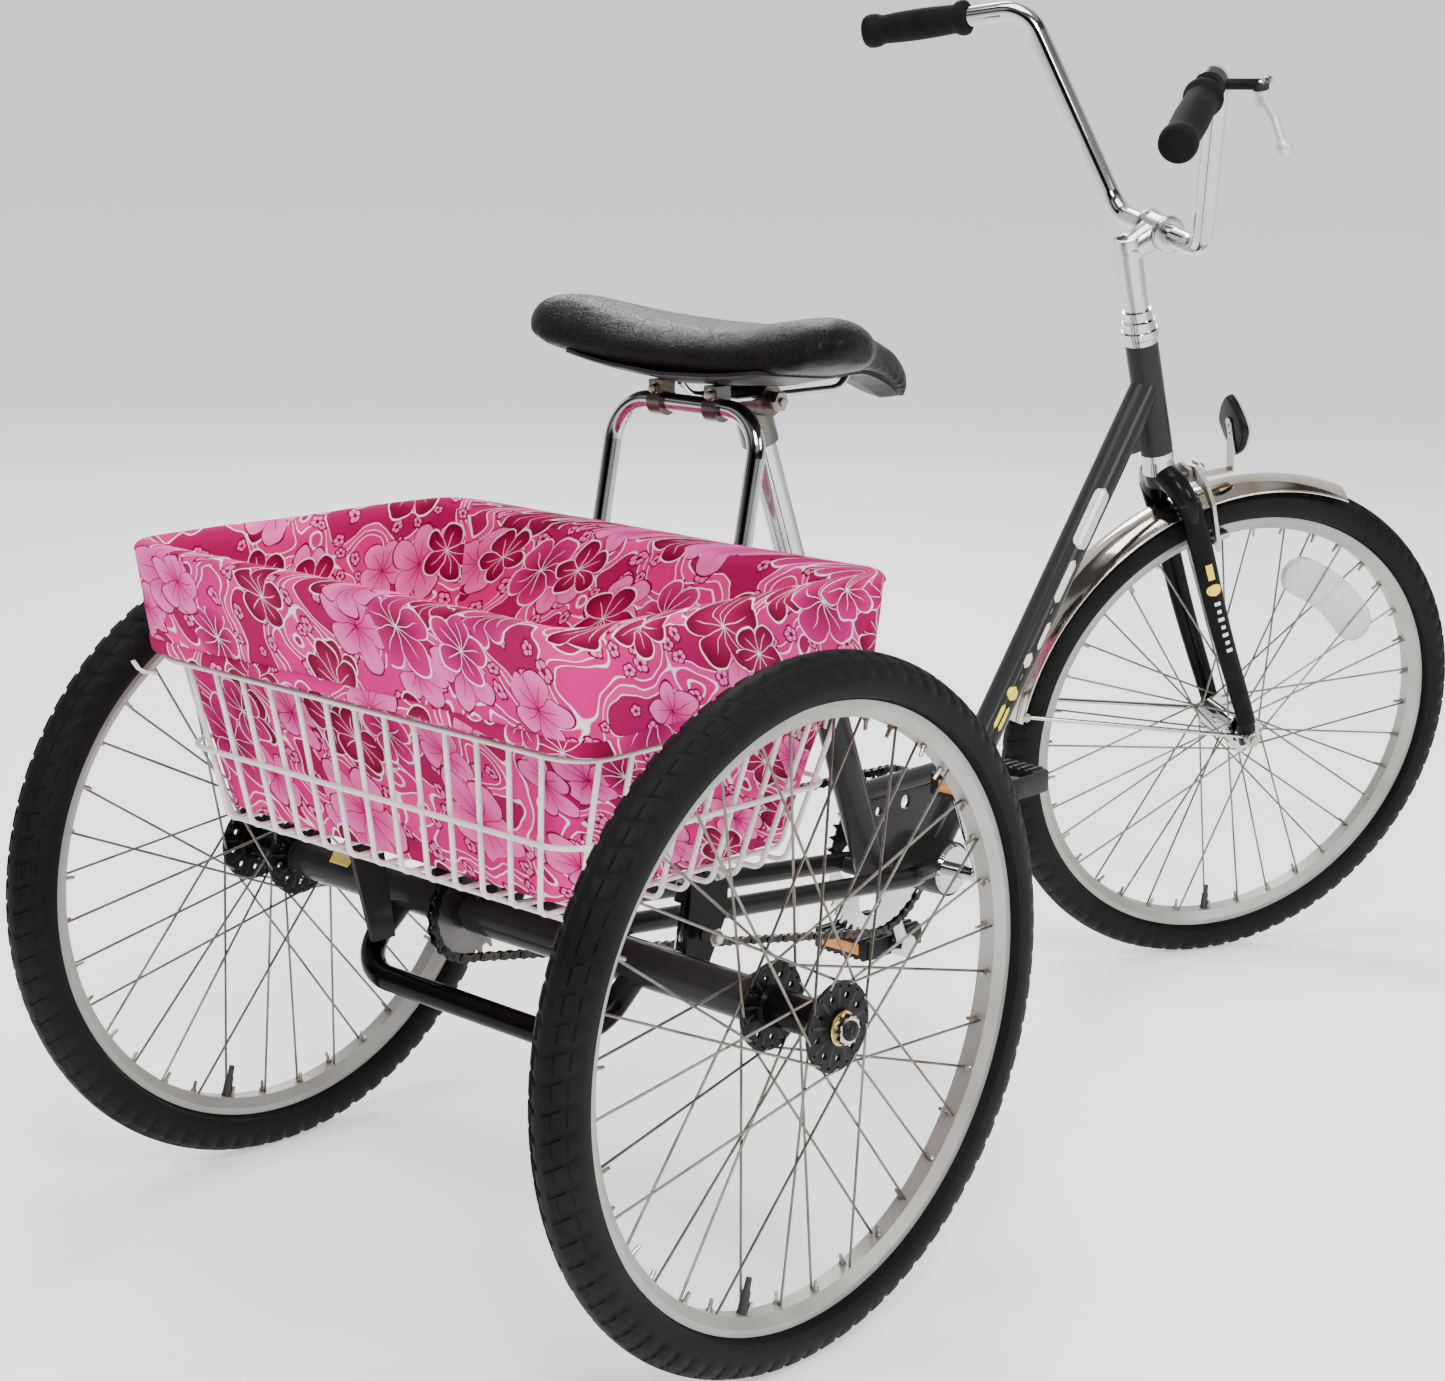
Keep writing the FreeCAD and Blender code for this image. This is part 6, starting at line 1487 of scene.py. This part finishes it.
def blossoms(tree, source, spacing, radius, offset, jitter=0.7, petal_power=0.42, notch=0.42):
    """Five-petalled flowers scattered on the cloth: masks for fill, outline and veins, and two
    numbers for each flower."""
    moved = add_node(tree, "ShaderNodeVectorMath", operation="ADD")
    feed(tree, source, moved, 0)
    moved.inputs[1].default_value = (*offset, 0.0)
    cells = add_node(tree, "ShaderNodeTexVoronoi", voronoi_dimensions="2D", feature="F1")
    cells.inputs["Scale"].default_value = 1 / spacing
    cells.inputs["Randomness"].default_value = jitter
    feed(tree, moved.outputs[0], cells, "Vector")
    local = add_node(tree, "ShaderNodeVectorMath", operation="SUBTRACT")
    feed(tree, moved.outputs[0], local, 0)
    feed(tree, cells.outputs["Position"], local, 1)
    parts = add_node(tree, "ShaderNodeSeparateXYZ")
    feed(tree, local.outputs[0], parts, 0)
    chance = add_node(tree, "ShaderNodeSeparateColor")
    feed(tree, cells.outputs["Color"], chance, 0)
    reach = calc(tree, "SQRT", calc(tree, "ADD", calc(tree, "POWER", calc(tree, "ABSOLUTE", parts.outputs[0]),
                                                      2.0), calc(tree, "POWER",
                                                                 calc(tree, "ABSOLUTE", parts.outputs[1]),
                                                                 2.0)))
    turn = calc(tree, "ADD", calc(tree, "ARCTAN2", parts.outputs[1], parts.outputs[0]),
                calc(tree, "MULTIPLY", chance.outputs[0], 6.28))
    lobe = calc(tree, "ABSOLUTE", calc(tree, "COSINE", calc(tree, "MULTIPLY", turn, 2.5)))
    cross_lobe = calc(tree, "ABSOLUTE", calc(tree, "SINE", calc(tree, "MULTIPLY", turn, 2.5)))
    size_here = calc(tree, "MULTIPLY", between(tree, chance.outputs[1], 0.78, 1.15), radius)
    edge = calc(tree, "MULTIPLY", size_here, between(tree, calc(tree, "POWER", lobe, petal_power), notch,
                                                     1.0))
    inside = calc(tree, "SUBTRACT", edge, reach)
    fill = between(tree, inside, 0.0, 1.0, -0.0002, 0.0003)
    line = between(tree, calc(tree, "ABSOLUTE", calc(tree, "SUBTRACT", inside, 0.0004)), 1.0, 0.0, 0.0006,
                   0.0011)
    gap = between(tree, calc(tree, "MULTIPLY", lobe, reach), 1.0, 0.0, 0.0005, 0.0011)
    vein = between(tree, calc(tree, "MULTIPLY", cross_lobe, reach), 1.0, 0.0, 0.0004, 0.0010)
    share = calc(tree, "DIVIDE", reach, size_here)
    vein = calc(tree, "MULTIPLY", vein, between(tree, share, 1.0, 0.0, 0.55, 0.72))
    return {"fill": fill, "line": line, "gap": calc(tree, "MULTIPLY", gap, fill),
            "vein": calc(tree, "MULTIPLY", vein, fill), "share": share, "pick": chance.outputs[2],
            "size": chance.outputs[1], "turn": turn}


ground_pink, deep_pink, crimson, pale_pink, white_ink = (
    (0.78, 0.028, 0.27), (0.36, 0.001, 0.088), (0.17, 0.0003, 0.026), (0.88, 0.16, 0.46), (0.92, 0.84, 0.89))
drift = add_node(tree, "ShaderNodeTexNoise", noise_dimensions="2D")
drift.inputs["Scale"].default_value = 21.0
drift.inputs["Detail"].default_value = 0.0
feed(tree, wavy.outputs[0], drift, "Vector")
patch = between(tree, drift.outputs["Fac"], 0.0, 1.0, 0.50, 0.515)
colour = blend_colour(tree, patch, ground_pink, (0.66, 0.008, 0.20))
patch_low = between(tree, drift.outputs["Fac"], 1.0, 0.0, 0.385, 0.400)
colour = blend_colour(tree, patch_low, colour, deep_pink)
for level in (0.397, 0.507, 0.60):
    swirl = between(tree, calc(tree, "ABSOLUTE", calc(tree, "SUBTRACT", drift.outputs["Fac"], level)), 1.0,
                    0.0, 0.006, 0.011)
    colour = blend_colour(tree, swirl, colour, white_ink)
small = blossoms(tree, wavy.outputs[0], 0.024, 0.0072, (0.31, 0.17), 0.85, 0.35, 0.62)
shown = calc(tree, "MULTIPLY", small["fill"], calc(tree, "GREATER_THAN", small["pick"], 0.35))
small_line = calc(tree, "MULTIPLY", calc(tree, "MAXIMUM", small["line"], small["gap"]),
                  calc(tree, "GREATER_THAN", small["pick"], 0.35))
colour = blend_colour(tree, shown, colour, pale_pink)
colour = blend_colour(tree, small_line, colour, crimson)
eye_dot = calc(tree, "MULTIPLY", shown, between(tree, small["share"], 1.0, 0.0, 0.22, 0.30))
colour = blend_colour(tree, eye_dot, colour, crimson)
for spacing, radius, offset, jitter in ((0.070, 0.0300, (0.0, 0.0), 0.75), (0.105, 0.0400, (0.53, 0.29), 0.8),
                                        (0.092, 0.0300, (1.37, 0.71), 0.9)):
    bloom = blossoms(tree, wavy.outputs[0], spacing, radius, offset, jitter)
    present = calc(tree, "GREATER_THAN", bloom["size"], 0.30)
    is_pale = calc(tree, "GREATER_THAN", bloom["pick"], 0.66)
    is_crimson = calc(tree, "LESS_THAN", bloom["pick"], 0.36)
    petal_shade = blend_colour(tree, between(tree, bloom["share"], 0.0, 1.0, 0.15, 0.95),
                               (0.26, 0.001, 0.058), (0.60, 0.010, 0.20))
    crimson_shade = blend_colour(tree, between(tree, bloom["share"], 0.0, 1.0, 0.1, 0.9), (0.42, 0.002, 0.10),
                                 crimson)
    pale_shade = blend_colour(tree, between(tree, bloom["share"], 0.0, 1.0, 0.10, 0.75), (0.66, 0.012, 0.22),
                              (0.90, 0.15, 0.46))
    petal = blend_colour(tree, is_crimson, petal_shade, crimson_shade)
    petal = blend_colour(tree, is_pale, petal, pale_shade)
    ink = blend_colour(tree, is_pale, white_ink, crimson)
    colour = blend_colour(tree, calc(tree, "MULTIPLY", bloom["fill"], present), colour, petal)
    drawn = calc(tree, "MAXIMUM", calc(tree, "MAXIMUM", bloom["line"], bloom["gap"]), bloom["vein"])
    colour = blend_colour(tree, calc(tree, "MULTIPLY", drawn, present), colour, ink)
feed(tree, colour, shader, "Base Color")
threads = []
for heading in (0, 1):
    thread = add_node(tree, "ShaderNodeTexWave", wave_type="BANDS",
                      bands_direction="X" if heading == 0 else "Y")
    thread.inputs["Scale"].default_value = 330.0
    thread.inputs["Distortion"].default_value = 0.6
    feed(tree, cloth_map.outputs[0], thread, "Vector")
    threads.append(thread.outputs["Fac"])
puckers = add_node(tree, "ShaderNodeTexNoise", noise_dimensions="2D")
puckers.inputs["Scale"].default_value = 46.0
puckers.inputs["Detail"].default_value = 3.0
feed(tree, cloth_map.outputs[0], puckers, "Vector")
weave = calc(tree, "MULTIPLY", calc(tree, "ADD", *threads), 0.10)
roughen(tree, shader, calc(tree, "ADD", weave, puckers.outputs["Fac"]), 0.55, 0.0022)

liner_cloth = plain_piece("printed_liner", shaped, faces, liner_print)


def lay_map(piece, spots):
    """Sets the cloth map, carried on past the seam where a ring of points closes."""
    layer = piece.data.uv_layers.new(name="cloth")
    for face in piece.data.polygons:
        corners = [piece.data.loops[loop].vertex_index for loop in face.loop_indices]
        spans = [max(spots[corner][axis] for corner in corners)
                 - min(spots[corner][axis] for corner in corners) for axis in (0, 1)]
        at_seam = spans[0] > 0.5 and not spans[1] > 0.5
        for loop, corner in zip(face.loop_indices, corners):
            u, v = spots[corner]
            if at_seam and u < 1.0:
                u += spots[(corner // ring_count) * ring_count + ring_count - 1][0] + 0.004
            layer.data[loop].uv = (u, v)


lay_map(liner_cloth, mapped)
face_outwards(liner_cloth, 0)
cloth_wall = liner_cloth.modifiers.new("cloth_wall", "SOLIDIFY")
cloth_wall.thickness = 0.0011
cloth_wall.offset = 0.0
mesh = settle(liner_cloth).data
mesh.polygons.foreach_set("use_smooth", [True] * len(mesh.polygons))

# The turned hem is a second thickness along the skirt's edge.
hem_points, hem_map = [], []
for row, (rise, outset) in enumerate(((0.0, 0.0003), (-0.0010, 0.0013), (0.0, 0.0023), (0.0060, 0.0022),
                                      (0.0115, 0.0020), (0.0122, 0.0009), (0.0115, 0.0002))):
    for number in range(ring_count):
        spot = shaped[number]
        upper = shaped[number + ring_count * 2]
        share = max(rise, 0.0) / max((upper - spot).length, 1e-6)
        place = spot.lerp(upper, share) + Vector((0, 0, min(rise, 0.0)))
        half_x, half_y = basket_half(place.z)
        away = Vector(((place.x - basket_x) / half_x, place.y / half_y, 0))
        away = Vector((away.x if abs(away.x) > 0.93 else 0.0, away.y if abs(away.y) > 0.93 else 0.0,
                       0)).normalized()
        hem_points.append(place + away * outset)
        hem_map.append((mapped[number][0], 0.4 + rise))
hem_rows = 7
hem_faces = [(row * ring_count + n, row * ring_count + (n + 1) % ring_count,
              ((row + 1) % hem_rows) * ring_count + (n + 1) % ring_count,
              ((row + 1) % hem_rows) * ring_count + n) for row in range(hem_rows) for n in range(ring_count)]
hem = plain_piece("liner_hem", hem_points, hem_faces, liner_print)
lay_map(hem, hem_map)
face_outwards(hem, 0)
mount(liner_cloth, "frame", stands_for="basket_liner")
mount(hem, "frame")
